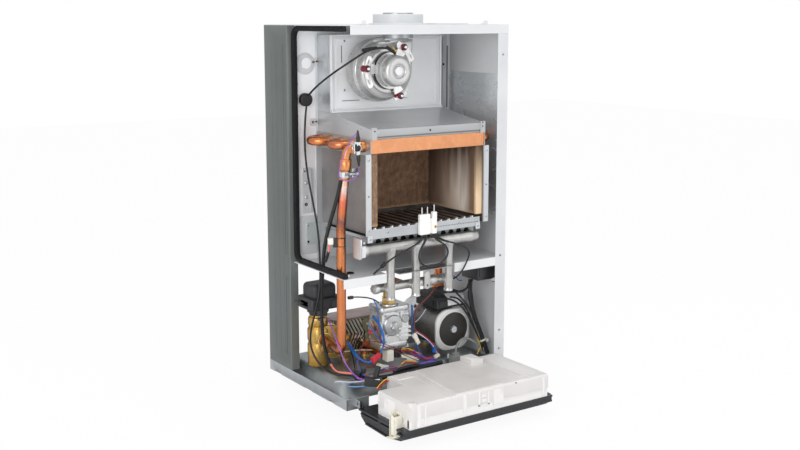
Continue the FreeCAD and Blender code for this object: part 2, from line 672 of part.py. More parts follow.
def water_pipes():
    tube = size("tube_radius")
    top_y = -size("tube_first_y") - 4 * size("tube_pitch")
    flow_x = size("flow_x")
    foot_z = size("flow_foot_z")
    route = [Vector(-size("hot_left"), top_y, size("tube_z")), Vector(flow_x, top_y, size("tube_z")),
             Vector(flow_x - 1, size("flow_foot_y"), foot_z),
             Vector(size("brass_x") - 10, size("brass_y") - size("brass_radius") - 1.4, foot_z)]
    copper = pipe(route, tube, size("pipe_bend"))
    lean = (route[2] - route[1]).normalize()
    socket_top = route[1] + lean * 24
    socket = mitred([socket_top, socket_top + lean * size("socket_length")], size("socket_radius"))
    feature("flow_pipe", copper.fuse(socket).removeSplitter())

    back_y = -size("tube_first_y")
    back = [Vector(size("hot_right"), back_y, size("tube_z")), Vector(size("return_x"), back_y, size("tube_z")),
            Vector(size("return_x"), back_y, size("return_foot_z"))]
    feature("return_pipe", pipe(back, tube, size("pipe_bend")))


# combustion chamber and burner

def chamber():
    body = new_body("chamber_shell")
    left = "-hot_left"
    right = "hot_right"
    back = "-chamber_back"
    front = "-hot_front"
    corners = [(left + " - chamber_flange", front), (left + " + sheet", front),
               (left + " + sheet", back + " - sheet"), (right + " - sheet", back + " - sheet"),
               (right + " - sheet", front), (right + " + chamber_flange", front),
               (right + " + chamber_flange", front + " + sheet"), (right, front + " + sheet"), (right, back),
               (left, back), (left, front + " + sheet"), (left + " - chamber_flange", front + " + sheet")]
    pad(body, polygon(sketch(body, "XY", "chamber_base"), corners), "block_base - chamber_base")
    keep(body, "chamber_shell")

    low = "burner_base + burner_height + 4"
    high = "block_base - (%s)" % low
    deep = "hot_front - chamber_back - 2 * sheet - 2"
    keep(box("lining_left", "sheet - hot_left", "sheet + 2 - hot_front", low, "insulation", deep, high),
         "insulation_left")
    keep(box("lining_right", "hot_right - sheet - insulation", "sheet + 2 - hot_front", low, "insulation", deep, high),
         "insulation_right")
    keep(box("lining_back", "sheet - hot_left + insulation", "-chamber_back - sheet - insulation", low,
             "hot_left + hot_right - 2 * sheet - 2 * insulation", "insulation", high), "insulation_back")


def burner():
    bars = []
    for n in range(int(size("bar_count"))):
        x = "-burner_left + 14 + %d * bar_pitch" % n
        trough = box("bar_%d" % n, x, "-hot_front", "burner_base", "bar_width", "bar_length", "burner_height")
        slit = box("bar_slit_%d" % n, x + " + bar_width / 2 - 1.5", "10 - hot_front",
                   "burner_base + burner_height - 3", "3", "bar_length - 16", "4")
        bars.append(minus("burner_bar_%d" % n, trough, [slit]))
    keep(group("bars", bars), "burner_bars")

    body = new_body("burner_frame")
    front = rectangle(sketch(body, "XZ", "hot_front"), "-burner_left", "burner_base", "burner_right",
                      "burner_base + burner_height")
    pad(body, front, "sheet")
    sides = sketch(body, "XY", "burner_base")
    rectangle(sides, "-burner_left", "-hot_front", "sheet - burner_left", "bar_length + sheet - hot_front")
    rectangle(sides, "burner_right - sheet", "-hot_front", "burner_right", "bar_length + sheet - hot_front")
    pad(body, sides, "6")
    rear = rectangle(sketch(body, "XZ", "hot_front - bar_length - sheet"), "-burner_left", "burner_base - 6",
                     "burner_right", "burner_base + 6")
    pad(body, rear, "sheet")
    keep(body, "burner_frame")

    nozzles = new_body("nozzle_plate")
    wall = rectangle(sketch(nozzles, "XZ", "rail_y - rail_radius - sheet"), "-burner_left", "nozzle_plate_base - 6",
                     "burner_right", "burner_base")
    pad(nozzles, wall, "sheet")
    hole = disc(sketch(nozzles, "XZ", "rail_y"), "-burner_left + 14 + bar_width / 2",
                "rail_z + rail_radius", "venturi_radius", 8)
    round_hole = pierce(nozzles, hole)
    row(nozzles, round_hole, "X", "bar_pitch * (bar_count - 1)", "bar_count")
    keep(nozzles, "nozzle_plate")


def gas_manifold():
    upper = rod("manifold_upper", "right", "-rail_left", "-rail_y", "rail_z", "rail_radius", "rail_left + rail_right")
    lower = rod("manifold_lower", "right", "-cross_left", "-cross_y", "cross_z", "cross_radius",
                "cross_left + cross_right")
    pieces = [upper, lower]
    for name, x in RISERS.items():
        pieces.append(rod("riser_" + name, "up", x, "-rail_y", "riser_foot", "riser_radius",
                          "rail_z - riser_foot", 12))
        pieces.append(rod("riser_link_" + name, "front", x, "-cross_y", "cross_z", "riser_radius * 0.8",
                          "rail_y - cross_y", 12))
    pieces.append(box("manifold_bracket", "-rail_left - 10", "-rail_y - 13", "rail_z - 15", "10", "26", "40"))
    pieces.append(box("manifold_tab", "2", "-cross_y - cross_radius - 2", "cross_z - 10", "12", "4", "22"))
    keep(join("manifold", pieces), "gas_manifold")


def electrode():
    front = "-hot_front - sheet"
    low = "burner_base - 2"
    web = box("ceramic_web", "-26", front + " - 5", low, "40", "5", "30")
    left = box("ceramic_left", "-26", front + " - 9", low, "24", "9", "40")
    right = box("ceramic_right", "4", front + " - 9", low, "10", "9", "43")
    keep(join("ceramic", [web, left, right]), "electrode_block")
    pins = []
    for n, (x, rise) in enumerate((("-20", "38"), ("-7", "38"), ("9", "41"))):
        pins.append(rod("electrode_%d" % n, "up", x, front + " - 5", "burner_base + " + rise, "1.2", "14", 6))
    keep(group("electrodes", pins), "electrodes")


# hydraulics

def gas_valve():
    half = "valve_width / 2"
    body = box("valve_body", "valve_x - " + half, "valve_y - valve_depth / 2", "valve_base",
               "valve_width", "valve_depth", "valve_top - valve_base")
    dome = rod("valve_dome", "front", "valve_x", "valve_y - valve_depth / 2", "(valve_base + valve_top) / 2",
               "valve_width * 0.4", "4")
    inlet = rod("valve_inlet", "up", "valve_x", "valve_y + valve_depth / 2 - 16", "valve_base - 12", "13", "14")
    bore_back = box("valve_relief", "valve_x + 14", "valve_y - valve_depth / 2 - 1", "valve_base - 1", "30", "26", "22")
    keep(minus("valve", join("valve_solid", [body, dome, inlet]), [bore_back]), "gas_valve")
    coils = [box("coil_white", "valve_x - 20", "valve_y - valve_depth / 2 + 2", "valve_base - 24", "16", "18", "24"),
             box("coil_black", "valve_x", "valve_y - valve_depth / 2 + 2", "valve_base - 20", "22", "22", "20")]
    keep(group("coils", coils), "gas_coils")
    nut = rod("nut", "up", "valve_x", "valve_y", "valve_top", "gas_nut", "16")
    stub = rod("nut_stub", "up", "valve_x", "valve_y", "valve_top", "riser_radius", "cross_z - valve_top")
    across = rod("nut_cross", "front", "valve_x", "valve_y", "cross_z", "riser_radius",
                 "cross_y + valve_y - cross_radius")
    keep(join("gas_feed", [nut, stub, across]), "gas_pipe")
    tail = rod("gas_tail", "up", "valve_x", "tail_y", "plateau_height + 4", "10", "valve_base - 10 - plateau_height - 4")
    reach = rod("gas_reach", "front", "valve_x", "tail_y", "valve_base - 22", "9",
                "tail_y - (valve_y + valve_depth / 2 - 16)")
    riser = rod("gas_riser", "up", "valve_x", "valve_y + valve_depth / 2 - 16", "valve_base - 22", "8.5", "10")
    keep(join("gas_supply", [tail, reach, riser]), "gas_inlet_pipe")


def brass_block():
    tower = rod("brass_tower", "up", "brass_x - 12", "brass_y", "plateau_height + 4", "brass_radius",
                "brass_top - plateau_height - 4")
    wide = box("brass_wide", "brass_x - 10", "brass_y - 18", "brass_base", "44", "36", "70")
    port = rod("brass_port", "front", "brass_x - 10", "brass_y", "flow_foot_z", "16", "brass_radius")
    foot = rod("brass_foot", "up", "brass_x", "tail_y", "plateau_height + 4", "heating_tail + 2", "20")
    small = rod("brass_small", "up", "brass_x + tail_pitch", "tail_y", "plateau_height + 4", "water_tail", "24")
    arm = box("brass_arm", "brass_x + 20", "tail_y - 12", "exchanger_base", "tail_pitch - 10",
              "12 - tail_y - exchanger_front", "30")
    solid = join("brass_solid", [tower, wide, port, foot, small, arm])
    bore = cylinder("brass_bore", "up", "brass_x - 12", "brass_y", "brass_top - 40", "spindle_radius + running_fit", "41")
    keep(minus("brass", solid, [bore]), "brass_block")

    spindle = rod("spindle", "up", "brass_x - 12", "brass_y", "brass_top - 28", "spindle_radius", "34")
    keep(spindle, "diverter_spindle")

    lower = rod("actuator_lower", "up", "brass_x - 12", "brass_y", "actuator_base", "22", "14")
    middle = box("actuator_middle", "brass_x - 46", "brass_y - 34", "actuator_base + 12", "72", "60", "24")
    upper = box("actuator_upper", "brass_x - 36", "brass_y - 26", "actuator_base + 34", "54", "50",
                "actuator_top - actuator_base - 34")
    collar = rod("actuator_collar", "up", "brass_x - 12", "brass_y", "brass_top", "18", "actuator_base - brass_top + 1")
    room = rod("actuator_room", "up", "brass_x - 12", "brass_y", "brass_top - 1", "spindle_radius + 2",
               "24 + spindle_travel")
    keep(minus("actuator", join("actuator_solid", [lower, middle, upper, collar]), [room]), "diverter_actuator")


def plate_exchanger():
    wide = "exchanger_left + exchanger_right"
    deep = "exchanger_front - exchanger_back"
    low = box("exchanger_low", "-exchanger_left", "-exchanger_front", "exchanger_base", wide, deep, "end_plate")
    high = box("exchanger_high", "-exchanger_left", "-exchanger_front", "exchanger_top - end_plate", wide, deep,
               "end_plate")
    core = box("exchanger_core", "8 - exchanger_left", "6 - exchanger_front", "exchanger_base",
               wide + " - 16", deep + " - 12", "exchanger_top - exchanger_base")
    pieces = [low, high, core]
    for n in range(1, 12):
        pieces.append(box("exchanger_plate_%d" % n, "3 - exchanger_left", "2 - exchanger_front",
                          "exchanger_base + %d * (exchanger_top - exchanger_base) / 12" % n, wide + " - 6",
                          deep + " - 4", "1"))
    keep(join("exchanger", pieces), "plate_exchanger")


def pump():
    housing = rod("pump_bowl", "front", "pump_x", "-pump_back", "pump_z", "pump_volute", "pump_split - pump_back", 24)
    outlet = rod("pump_outlet", "up", "return_x", "-tube_first_y", "pump_z", "14", "return_foot_z - pump_z")
    foot = rod("pump_foot", "up", "pump_x", "tail_y", "plateau_height + 4", "heating_tail + 2", "7.5")
    cold = rod("pump_cold", "up", "pump_x - tail_pitch", "tail_y", "plateau_height + 4", "water_tail", "30")
    arm = box("pump_arm", "exchanger_right - 8", "tail_y - 8", "exchanger_base", "pump_x - 26 - exchanger_right + 8",
              "8 - tail_y - exchanger_front", "20")
    room = rod("pump_room", "front", "pump_x", "-pump_back - 6", "pump_z", "pump_wheel + 2", "pump_split")
    keep(minus("pump_housing_cut", join("pump_solid", [housing, outlet, foot, cold, arm]), [room]), "pump_housing")

    can = rod("pump_can", "front", "pump_x", "-pump_split", "pump_z", "pump_radius",
              "pump_front - pump_split - pump_plate_thick", 24)
    half = "pump_plate / 2"
    face = box("pump_face_plate", "pump_x - " + half, "-pump_front", "pump_z - " + half, "pump_plate",
               "pump_plate_thick", "pump_plate")
    trim = rod("pump_face_trim", "front", "pump_x", "-pump_front + pump_plate_thick", "pump_z", "pump_plate * 0.61",
               "pump_plate_thick", 24)
    face_body = doc.addObject("Part::MultiCommon", "pump_face_round")
    face_body.Shapes = [face, trim]
    disc = rod("pump_disc_plate", "front", "pump_x", "-pump_front", "pump_z", "pump_disc", "1", 24)
    hole = cylinder("pump_axis_hole", "front", "pump_x", "-pump_split + 1", "pump_z", "shaft_radius + running_fit",
               "pump_front - pump_split - 6")
    well = cylinder("pump_vent_well", "front", "pump_x", "6 - pump_front", "pump_z", "vent_radius + running_fit", "8")
    can_room = rod("pump_can_room", "front", "pump_x", "-pump_split + 1", "pump_z", "22", "60")
    keep(minus("pump_motor_cut", join("pump_motor_solid", [can, face_body, disc]), [hole, well, can_room]),
         "pump_motor")

    wheel = rod("pump_wheel_disc", "front", "pump_x", "-pump_back - 14", "pump_z", "pump_wheel", "16", 24)
    shaft = rod("pump_shaft", "front", "pump_x", "-pump_back - 14", "pump_z", "shaft_radius",
                "pump_front - pump_back - 22")
    magnet = rod("pump_magnet", "front", "pump_x", "-pump_split - 4", "pump_z", "20", "48")
    keep(join("pump_turning", [wheel, shaft, magnet]), "pump_rotor")

    plug = rod("vent_plug", "front", "pump_x", "5 - pump_front", "pump_z", "vent_radius", "9", 24)
    slot = box("vent_slot", "pump_x - vent_radius - 1", "-pump_front - 5", "pump_z - 1", "2 * vent_radius + 2", "2", "2")
    keep(minus("vent_cut", plug, [slot]), "vent_screw")

    lid = box("terminal_block", "pump_x - 34", "10 - pump_front", "pump_z + pump_radius - 3", "72", "78", "32")
    round_tool = rod("terminal_seat", "front", "pump_x", "-pump_split", "pump_z", "pump_radius + 0.02",
                     "pump_front - pump_split", 24)
    keep(minus("terminal_cut", lid, [round_tool]), "terminal_box")


def ignition_unit():
    case = box("ignition_case", "case_width / 2 - sheet - ignition_width", "20 - case_depth",
               "room_floor - sheet - ignition_height", "ignition_width", "ignition_depth", "ignition_height")
    keep(case, "ignition_unit")


# wiring, held by grommets, the brass block and the panels along its way

WALL_GROMMET = [(-163, -97, 577), (-163, -103, 577)]
FAN_LEAD = [(-52, -240, 664), (-57, -238, 675), (-74, -226, 676), (-102, -216, 661), (-134, -172, 634),
            (-142, -118, 603), (-152.5, -100, 587.5)]
DROP_LEAD = [(-163, -100, 563.6), (-166, -100, 525), (-169, -102, 481), (-166, -118, 417), (-167, -145, 350),
             (-170, -163, 300), (-172, -168, 250), (-181, -184, 216), (-191, -184, 172), (-193, -160, 120),
             (-191, -158, 72), (-181, -190, 42), (-168, -222, 39), (-150, -236, 38.2)]
CONDUIT = [(-184, -263.3, 432), (-184.5, -262, 408), (-190, -236, 350), (-176, -192, 290), (-170, -178, 250),
           (-180, -188, 214), (-183, -190, 121), (-179, -198, 62)]
HARNESS = [(150, -240, 195.3), (146, -241, 172), (147, -244, 146), (154, -245, 115), (166, -250, 86),
           (175, -255, 55), (178, -262, 38)]
PUMP_LEAD = [(120, -220.4, 150), (122, -232, 147), (132, -237, 140), (144, -238, 124), (151, -240, 101),
             (160, -245, 78), (168, -250, 50)]
SENSOR_LEAD = [(104, -256, 44.3), (105, -255, 58), (114, -253, 68), (131, -252, 71), (148, -252, 64),
               (160, -255, 53), (163, -258, 40)]
SPARK_LEADS = [
    [(-20, -303, 319.2), (-22, -306, 309), (-52, -312, 300), (-88, -312, 288), (-112, -308, 273),
     (-121, -299, 261), (-122, -287, 252.2)],
    [(-10, -303, 319.2), (-12, -307, 308), (-34, -312, 294), (-33, -312, 268), (-14, -312, 257), (8, -312, 257),
     (31, -312, 266), (38, -312, 284), (26, -312, 300), (9, -307, 309), (7, -303, 319.2)],
    [(12, -303, 319.2), (16, -307, 308), (46, -311, 299), (78, -308, 288), (102, -302, 272), (96, -297, 252),
     (82, -298, 230), (72, -286, 214), (67.4, -272, 214)],
]


def wiring():
    thin = size("cable_radius")
    grommet = mitred([Vector(*point) for point in WALL_GROMMET], size("grommet_radius"))
    feature("left_wiring", Part.makeCompound([grommet, cable(FAN_LEAD, thin), cable(DROP_LEAD, thin),
                                              cable(CONDUIT, size("conduit_radius"))]))
    plug = Part.makeBox(18, 12, 25.5, Vector(95, -262, 18.5))
    feature("right_wiring", Part.makeCompound([cable(HARNESS, size("conduit_radius")), cable(PUMP_LEAD, thin),
                                               cable(SENSOR_LEAD, thin), plug]))
    feature("electrode_leads", Part.makeCompound([cable(points, size("lead_radius")) for points in SPARK_LEADS]))


# control box

def control_box():
    body = new_body("control_fascia")
    near = "-box_near"
    far = "-box_far"
    side = [(near, "fascia_base + 14"), (near + " - 18", "fascia_base + 2"), (near + " - 90", "fascia_base"),
            (far + " + 16", "fascia_base + 8"), (far, "fascia_base + 20"), (far, "fascia_top"), (near, "fascia_top")]
    pad(body, polygon(sketch(body, "YZ", "-box_half"), side), "2 * box_half")
    lugs = sketch(body, "YZ", "-box_half")
    polygon(lugs, [(near + " - 8", "fascia_top - 4"), (near + " - 8", "fascia_top + 12"), ("hinge_y", "hinge_z + 5"),
                   ("hinge_y + 4.5", "hinge_z"), ("hinge_y", "hinge_z - 5"), (near, "fascia_top - 4")])
    lug = pad(body, lugs, "3")
    other = body.newObject("PartDesign::Mirrored", "hinge_lug_pair")
    other.Originals = [lug]
    plane = [p for p in body.Origin.OriginFeatures if p.Role == "YZ_Plane"][0]
    other.MirrorPlane = (plane, [""])
    body.Tip = other
    pierce(body, circle(sketch(body, "YZ", "0"), "hinge_y", "hinge_z", "hinge_pin + hinge_fit"))
    wells = sketch(body, "XY", "fascia_base - 2")
    for n in (0, 1):
        disc(wells, "40 + %d * knob_pitch" % n, "knob_y", "knob_well", 24)
    recess(body, wells, "knob_depth + 2", True)
    keep(body, "control_fascia")

    cover = new_body("control_cover")
    corners = [("-cover_half", far), ("cover_half", far), ("cover_half", "-cover_near"),
               ("cover_notch_x", "-cover_near"), ("cover_notch_x", "-cover_notch"), ("-cover_half", "-cover_notch")]
    pad(cover, polygon(sketch(cover, "XY", "fascia_top"), corners), "cover_top - fascia_top")
    under = rectangle(sketch(cover, "XY", "fascia_top"), "cover_notch_x - 1", near + " - 4",
                      "cover_half + 1", "1 - cover_near")
    recess(cover, under, "18", True)
    ribs = sketch(cover, "XY", "cover_top")
    rectangle(ribs, "-70", far + " + 4", "-66.5", "-cover_near - 4")
    rectangle(ribs, "98", far + " + 4", "101.5", "-cover_near - 4")
    pad(cover, ribs, "1.5")
    raised = rectangle(sketch(cover, "XY", "cover_top"), "74", "-cover_near - 44", "116", "-cover_near - 8")
    pad(cover, raised, "12")
    keep(cover, "control_cover")

    arms = []
    for side in ("left", "right"):
        arm = new_body("arm_" + side)
        sign = "-" if side == "left" else ""
        foot = [("%scover_half" % sign, "fascia_top + 4"), ("%scover_half" % sign, "fascia_top + 26"),
                ("%s(cover_half + 13)" % sign, "fascia_top + 26"), ("%s(cover_half + 15)" % sign, "fascia_top - 18"),
                ("%s(cover_half + 23)" % sign, "fascia_top - 18"), ("%s(cover_half + 23)" % sign, "fascia_top - 21"),
                ("%s(cover_half + 10.3)" % sign, "fascia_top - 21"), ("%s(cover_half + 10.3)" % sign, "fascia_top + 4")]
        pad(arm, polygon(sketch(arm, "XZ", "box_far - 44"), foot), "27")
        arms.append(arm)
    keep(group("arms", arms), "control_arms")

    for n, label in enumerate(("knob_heating", "knob_hot_water")):
        x = "40 + %d * knob_pitch" % n
        cap = rod(label + "_cap", "up", x, "knob_y", "fascia_base - knob_proud", "knob_radius",
                  "knob_depth + knob_proud - 0.3", 24)
        grip = box(label + "_grip", x + " - 2", "knob_y - knob_radius", "fascia_base - knob_proud - 1", "4",
                   "2 * knob_radius", "2")
        mark = box(label + "_mark", x + " - 1", "knob_y - knob_radius - 1", "fascia_base - knob_proud - 2", "2",
                   "6", "2")
        keep(minus(label + "_cut", join(label + "_solid", [cap, grip]), [mark]), label)


for build in (rear_column, top_panel, right_side_panel, back_wall, hanging_rail, expansion_vessel,
              chamber_floor, gas_plate, chamber_seal, bottom_tray, pipe_tails, flue_pieces, fan_volute,
              fan_impeller, fan_motor, fan_bracket, top_fittings, hot_box, hood, heat_exchanger, hx_bends,
              water_pipes, chamber, burner, gas_manifold, electrode, gas_valve, brass_block,
              plate_exchanger, pump, ignition_unit, wiring, control_box):
    build()

doc.recompute()
broken = [obj.Name for obj in doc.Objects if "Invalid" in obj.State or "Error" in obj.State]
broken += [part.Label for part in parts if part.Shape.isNull() or not part.Shape.isValid()]
if broken:
    raise RuntimeError("failed: " + ", ".join(broken))

os.makedirs("parts", exist_ok=True)
for part in parts:
    part.Shape.exportStep(os.path.join("parts", part.Label + ".step"))
print(len(parts), "parts written")
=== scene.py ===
import math

import bmesh
import bpy
from mathutils import Matrix, Vector


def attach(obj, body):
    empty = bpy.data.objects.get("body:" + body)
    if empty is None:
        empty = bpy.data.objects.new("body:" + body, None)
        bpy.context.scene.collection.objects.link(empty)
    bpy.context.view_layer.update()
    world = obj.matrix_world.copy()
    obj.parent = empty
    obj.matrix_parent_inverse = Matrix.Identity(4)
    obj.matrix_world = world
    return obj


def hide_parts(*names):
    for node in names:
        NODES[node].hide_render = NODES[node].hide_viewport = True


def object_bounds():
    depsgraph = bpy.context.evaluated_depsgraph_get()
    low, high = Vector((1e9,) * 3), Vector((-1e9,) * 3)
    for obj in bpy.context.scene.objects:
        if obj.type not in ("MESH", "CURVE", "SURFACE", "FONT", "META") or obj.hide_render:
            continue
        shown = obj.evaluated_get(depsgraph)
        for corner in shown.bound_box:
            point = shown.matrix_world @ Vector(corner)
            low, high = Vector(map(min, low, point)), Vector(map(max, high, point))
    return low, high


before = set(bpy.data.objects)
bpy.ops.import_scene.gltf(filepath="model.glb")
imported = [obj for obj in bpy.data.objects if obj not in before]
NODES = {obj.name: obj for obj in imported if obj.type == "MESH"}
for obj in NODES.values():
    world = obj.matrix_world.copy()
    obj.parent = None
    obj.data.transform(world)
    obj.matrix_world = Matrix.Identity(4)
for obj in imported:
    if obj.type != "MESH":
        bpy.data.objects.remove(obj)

# Looks of the wall-hung gas boiler round its CAD frame. Sizes are written in millimetres and
# turned into metres by MM. X runs to the right, Y into the wall, Z up.

MM = 0.001
SOLID = [list(corner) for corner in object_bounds()]
SPLINE_ORDER, TIP = 4, 0.01
FORWARD, UPWARD = (0, -1, 0), (0, 0, 1)


# materials

def tone(text):
    """A colour written as on a screen, in the linear values that a shader takes."""
    parts = [int(text[k:k + 2], 16) / 255 for k in (0, 2, 4)]
    return [p / 12.92 if p <= 0.04045 else ((p + 0.055) / 1.055) ** 2.4 for p in parts] + [1.0]


class Wiring:
    """Adds nodes to the tree of a material or a world, and links them."""

    def __init__(self, owner):
        owner.use_nodes = True
        self.tree = owner.node_tree

    def node(self, kind, **settings):
        """A new node. Capitalised settings are values of its inputs, the others are its own."""
        made = self.tree.nodes.new(kind)
        for key, value in settings.items():
            if key[0].isupper():
                made.inputs[key.replace("_", " ")].default_value = value
            else:
                setattr(made, key, value)
        return made

    def join(self, source, target):
        self.tree.links.new(source, target)


class Finish(Wiring):
    """A node material. Patterns are laid on object coordinates, which are metres."""

    def __init__(self, name, metal=0.0, **constants):
        self.material = bpy.data.materials.new(name)
        super().__init__(self.material)
        self.skin = self.tree.nodes["Principled BSDF"]
        self.skin.inputs["Metallic"].default_value = metal
        for socket, value in constants.items():
            self.skin.inputs[socket.replace("_", " ")].default_value = value
        self.spots = self.node("ShaderNodeTexCoord").outputs["Object"]

    def noise(self, scale, detail=5.0, stretch=None, roughness=0.55, warp=0.0):
        mapping = self.node("ShaderNodeMapping", Scale=stretch or (1, 1, 1))
        self.join(self.spots, mapping.inputs["Vector"])
        made = self.node("ShaderNodeTexNoise", Scale=scale, Detail=detail,
            Roughness=roughness, Distortion=warp)
        self.join(mapping.outputs["Vector"], made.inputs["Vector"])
        return made.outputs["Fac"]

    def cells(self, scale, output="Color"):
        made = self.node("ShaderNodeTexVoronoi", Scale=scale)
        self.join(self.spots, made.inputs["Vector"])
        return made.outputs[output]

    def coordinate(self, axis):
        split = self.node("ShaderNodeSeparateXYZ")
        self.join(self.spots, split.inputs[0])
        return split.outputs["XYZ".index(axis)]

    def span(self, source, low, high, out_low=0.0, out_high=1.0):
        made = self.node("ShaderNodeMapRange", From_Min=low, From_Max=high, To_Min=out_low, To_Max=out_high)
        self.join(source, made.inputs["Value"])
        return made.outputs["Result"]

    def ramp(self, source, stops):
        made = self.node("ShaderNodeValToRGB")
        elements = made.color_ramp.elements
        while len(elements) < len(stops):
            elements.new(0.5)
        for element, (place, colour) in zip(elements, stops):
            element.position = place
            element.color = tone(colour)
        self.join(source, made.inputs["Fac"])
        return made.outputs["Color"]

    def sums(self, operation, first, second):
        made = self.node("ShaderNodeMath", operation=operation)
        for socket, value in zip(made.inputs, (first, second)):
            if isinstance(value, (int, float)):
                socket.default_value = value
            else:
                self.join(value, socket)
        return made.outputs["Value"]

    def blend(self, share, first, second):
        made = self.node("ShaderNodeMix", data_type="RGBA")
        for socket, value in ((made.inputs["Factor"], share), (made.inputs["A"], first),
                (made.inputs["B"], second)):
            if isinstance(value, str):
                value = tone(value)
            if isinstance(value, (int, float, list)):
                socket.default_value = value
            else:
                self.join(value, socket)
        return made.outputs["Result"]

    def painted_dark_reflection(self, source, dark, low=0.35, high=1.0, most=0.6):
        """Paints a dark reflection on what turns away from the eye, like the dark studio sides that bright
        round metal reflects.
        """
        facing = self.node("ShaderNodeLayerWeight").outputs["Facing"]
        return self.blend(self.span(facing, low, high, 0.0, most), source, dark)

    def edges(self, low, high):
        """A mask of the outer edges."""
        shape = self.node("ShaderNodeNewGeometry")
        return self.span(shape.outputs["Pointiness"], low, high)

    def colour(self, source):
        self.join(source, self.skin.inputs["Base Color"])
        return self

    def toned(self, pattern, stops, worn=None, rim=(0.52, 0.6)):
        """A base colour that runs with a pattern, with a worn tone on the edges where one is given."""
        tones = self.ramp(pattern, stops)
        if worn:
            tones = self.blend(self.edges(*rim), tones, worn)
        return self.colour(tones)

    def rough(self, low, high, scale=60.0, stretch=None):
        self.join(self.span(self.noise(scale, 4.0, stretch), 0.3, 0.7, low, high),
            self.skin.inputs["Roughness"])
        return self

    def bump(self, height, strength=0.2, distance=0.0003):
        made = self.node("ShaderNodeBump", Strength=strength, Distance=distance)
        self.join(height, made.inputs["Height"])
        before = self.skin.inputs["Normal"].links
        if before:
            self.join(before[0].from_socket, made.inputs["Normal"])
        self.join(made.outputs["Normal"], self.skin.inputs["Normal"])
        return self


def plain(name, dark, light, metal=0.0, rough=(0.35, 0.5), scale=30.0, grain=700.0, bump=0.08, stretch=None,
        worn=None, **constants):
    """A finish with soft patches of two near tones, uneven gloss, a fine grain and worn edges."""
    made = Finish(name, metal, **constants)
    made.toned(made.noise(scale, 6.0, stretch), [(0.3, dark), (0.7, light)], worn)
    made.rough(*rough, scale=scale * 2.5, stretch=stretch)
    made.bump(made.noise(grain, 3.0, stretch), bump)
    return made.material


def white_paint(name="white_enamel", low="cbcdcf", high="d9dbdc", worn="ebecec"):
    """Enamelled sheet with a thin clear coat, slightly cloudy."""
    made = Finish(name, Coat_Weight=0.15, Coat_Roughness=0.2)
    made.toned(made.noise(7, 5.0), [(0.3, low), (0.7, high)], worn, (0.53, 0.62)).rough(0.34, 0.5, 40)
    made.bump(made.noise(650, 2.0), 0.06).bump(made.noise(11, 2.0), 0.12, 0.002)
    return made.material


def pressed_grey():
    """Coated steel of the rear column, with its pressed lines."""
    made = Finish("column_coat", 0.3)
    made.toned(made.noise(6, 3.0), [(0.3, "5e6361"), (0.7, "656a68")], "9aa09e", (0.53, 0.62))
    made.rough(0.42, 0.5, 20)
    across = made.coordinate("Y")
    lines = None
    for middle, half in ((-0.087, 0.0016), (-0.069, 0.0018), (-0.052, 0.0018), (-0.03, 0.0022)):
        away = made.sums("ABSOLUTE", made.sums("SUBTRACT", across, middle), 0.0)
        line = made.span(away, 0.0, half, 1.0, 0.0)
        lines = line if lines is None else made.sums("MAXIMUM", lines, line)
    inside = made.sums("MULTIPLY", made.span(made.coordinate("Z"), 0.672, 0.676, 1.0, 0.0),
        made.span(made.coordinate("Z"), 0.05, 0.054))
    made.bump(made.noise(900, 2.0), 0.04).bump(made.sums("MULTIPLY", lines, inside), 0.7, 0.002)
    return made.material


def galvanised(name="galvanised_sheet", dark="a8abad", light="bfc2c4", rough=(0.3, 0.42), spangle=85.0,
        streak=(1, 1, 1), metal=0.8, share=0.14):
    """Zinc-coated sheet: flakes mixed with soft streaks by their share."""
    made = Finish(name, metal)
    flakes = made.node("ShaderNodeSeparateColor")
    made.join(made.cells(spangle), flakes.inputs["Color"])
    mixed = made.sums("ADD", made.sums("MULTIPLY", flakes.outputs["Red"], share),
        made.sums("MULTIPLY", made.noise(9, 4.0, streak), 1 - share))
    made.toned(mixed, [(0.25, dark), (0.75, light)], "dadddf", (0.53, 0.61))
    made.rough(*rough, scale=70, stretch=streak)
    made.bump(made.noise(420, 3.0, streak), 0.04)
    return made.material


def brushed(name, dark, light, streak, rough=(0.2, 0.34), grain=260.0, bump=0.1):
    """Bare metal with fine lines along its streak."""
    made = Finish(name, 0.95)
    lines = made.noise(grain, 4.0, streak)
    made.toned(lines, [(0.25, dark), (0.75, light)]).rough(*rough, scale=grain, stretch=streak)
    made.bump(lines, bump).bump(made.noise(14, 2.0), 0.15, 0.0015)
    return made.material


def copper(name="copper_tube", heat=0.5, ribbed=False):
    """Copper with the straw, rose and violet clouds that the flame leaves on it."""
    made = Finish(name, 1.0)
    base = made.ramp(made.noise(30, 5.0, warp=0.5), [(0.2, "c06c42"), (0.5, "d98350"), (0.8, "eb9f6b")])
    tint = made.ramp(made.noise(12, 4.0, (1.3, 1, 0.6), warp=1.0),
        [(0.3, "d98a4e"), (0.45, "cf7f5c"), (0.56, "a96a6c"), (0.66, "c4743f"), (0.8, "8f553f")])
    share = made.span(made.noise(15, 3.0, warp=0.8), 0.45, 0.72, 0.0, heat)
    worn = made.blend(made.edges(0.53, 0.6), made.blend(share, base, tint), "f6c39a")
    if ribbed:
        worn = made.blend(0.35, worn, "94592f")
    # A painted dark reflection on the sides that turn away from the eye.
    made.colour(made.painted_dark_reflection(worn, "5a2a18")).rough(0.2, 0.34, 60)
    made.bump(made.noise(300, 4.0), 0.04)
    if ribbed:
        made.bump(made.noise(1, 1.0, (430, 0.1, 0.1)), 0.35, 0.0004)
    return made.material


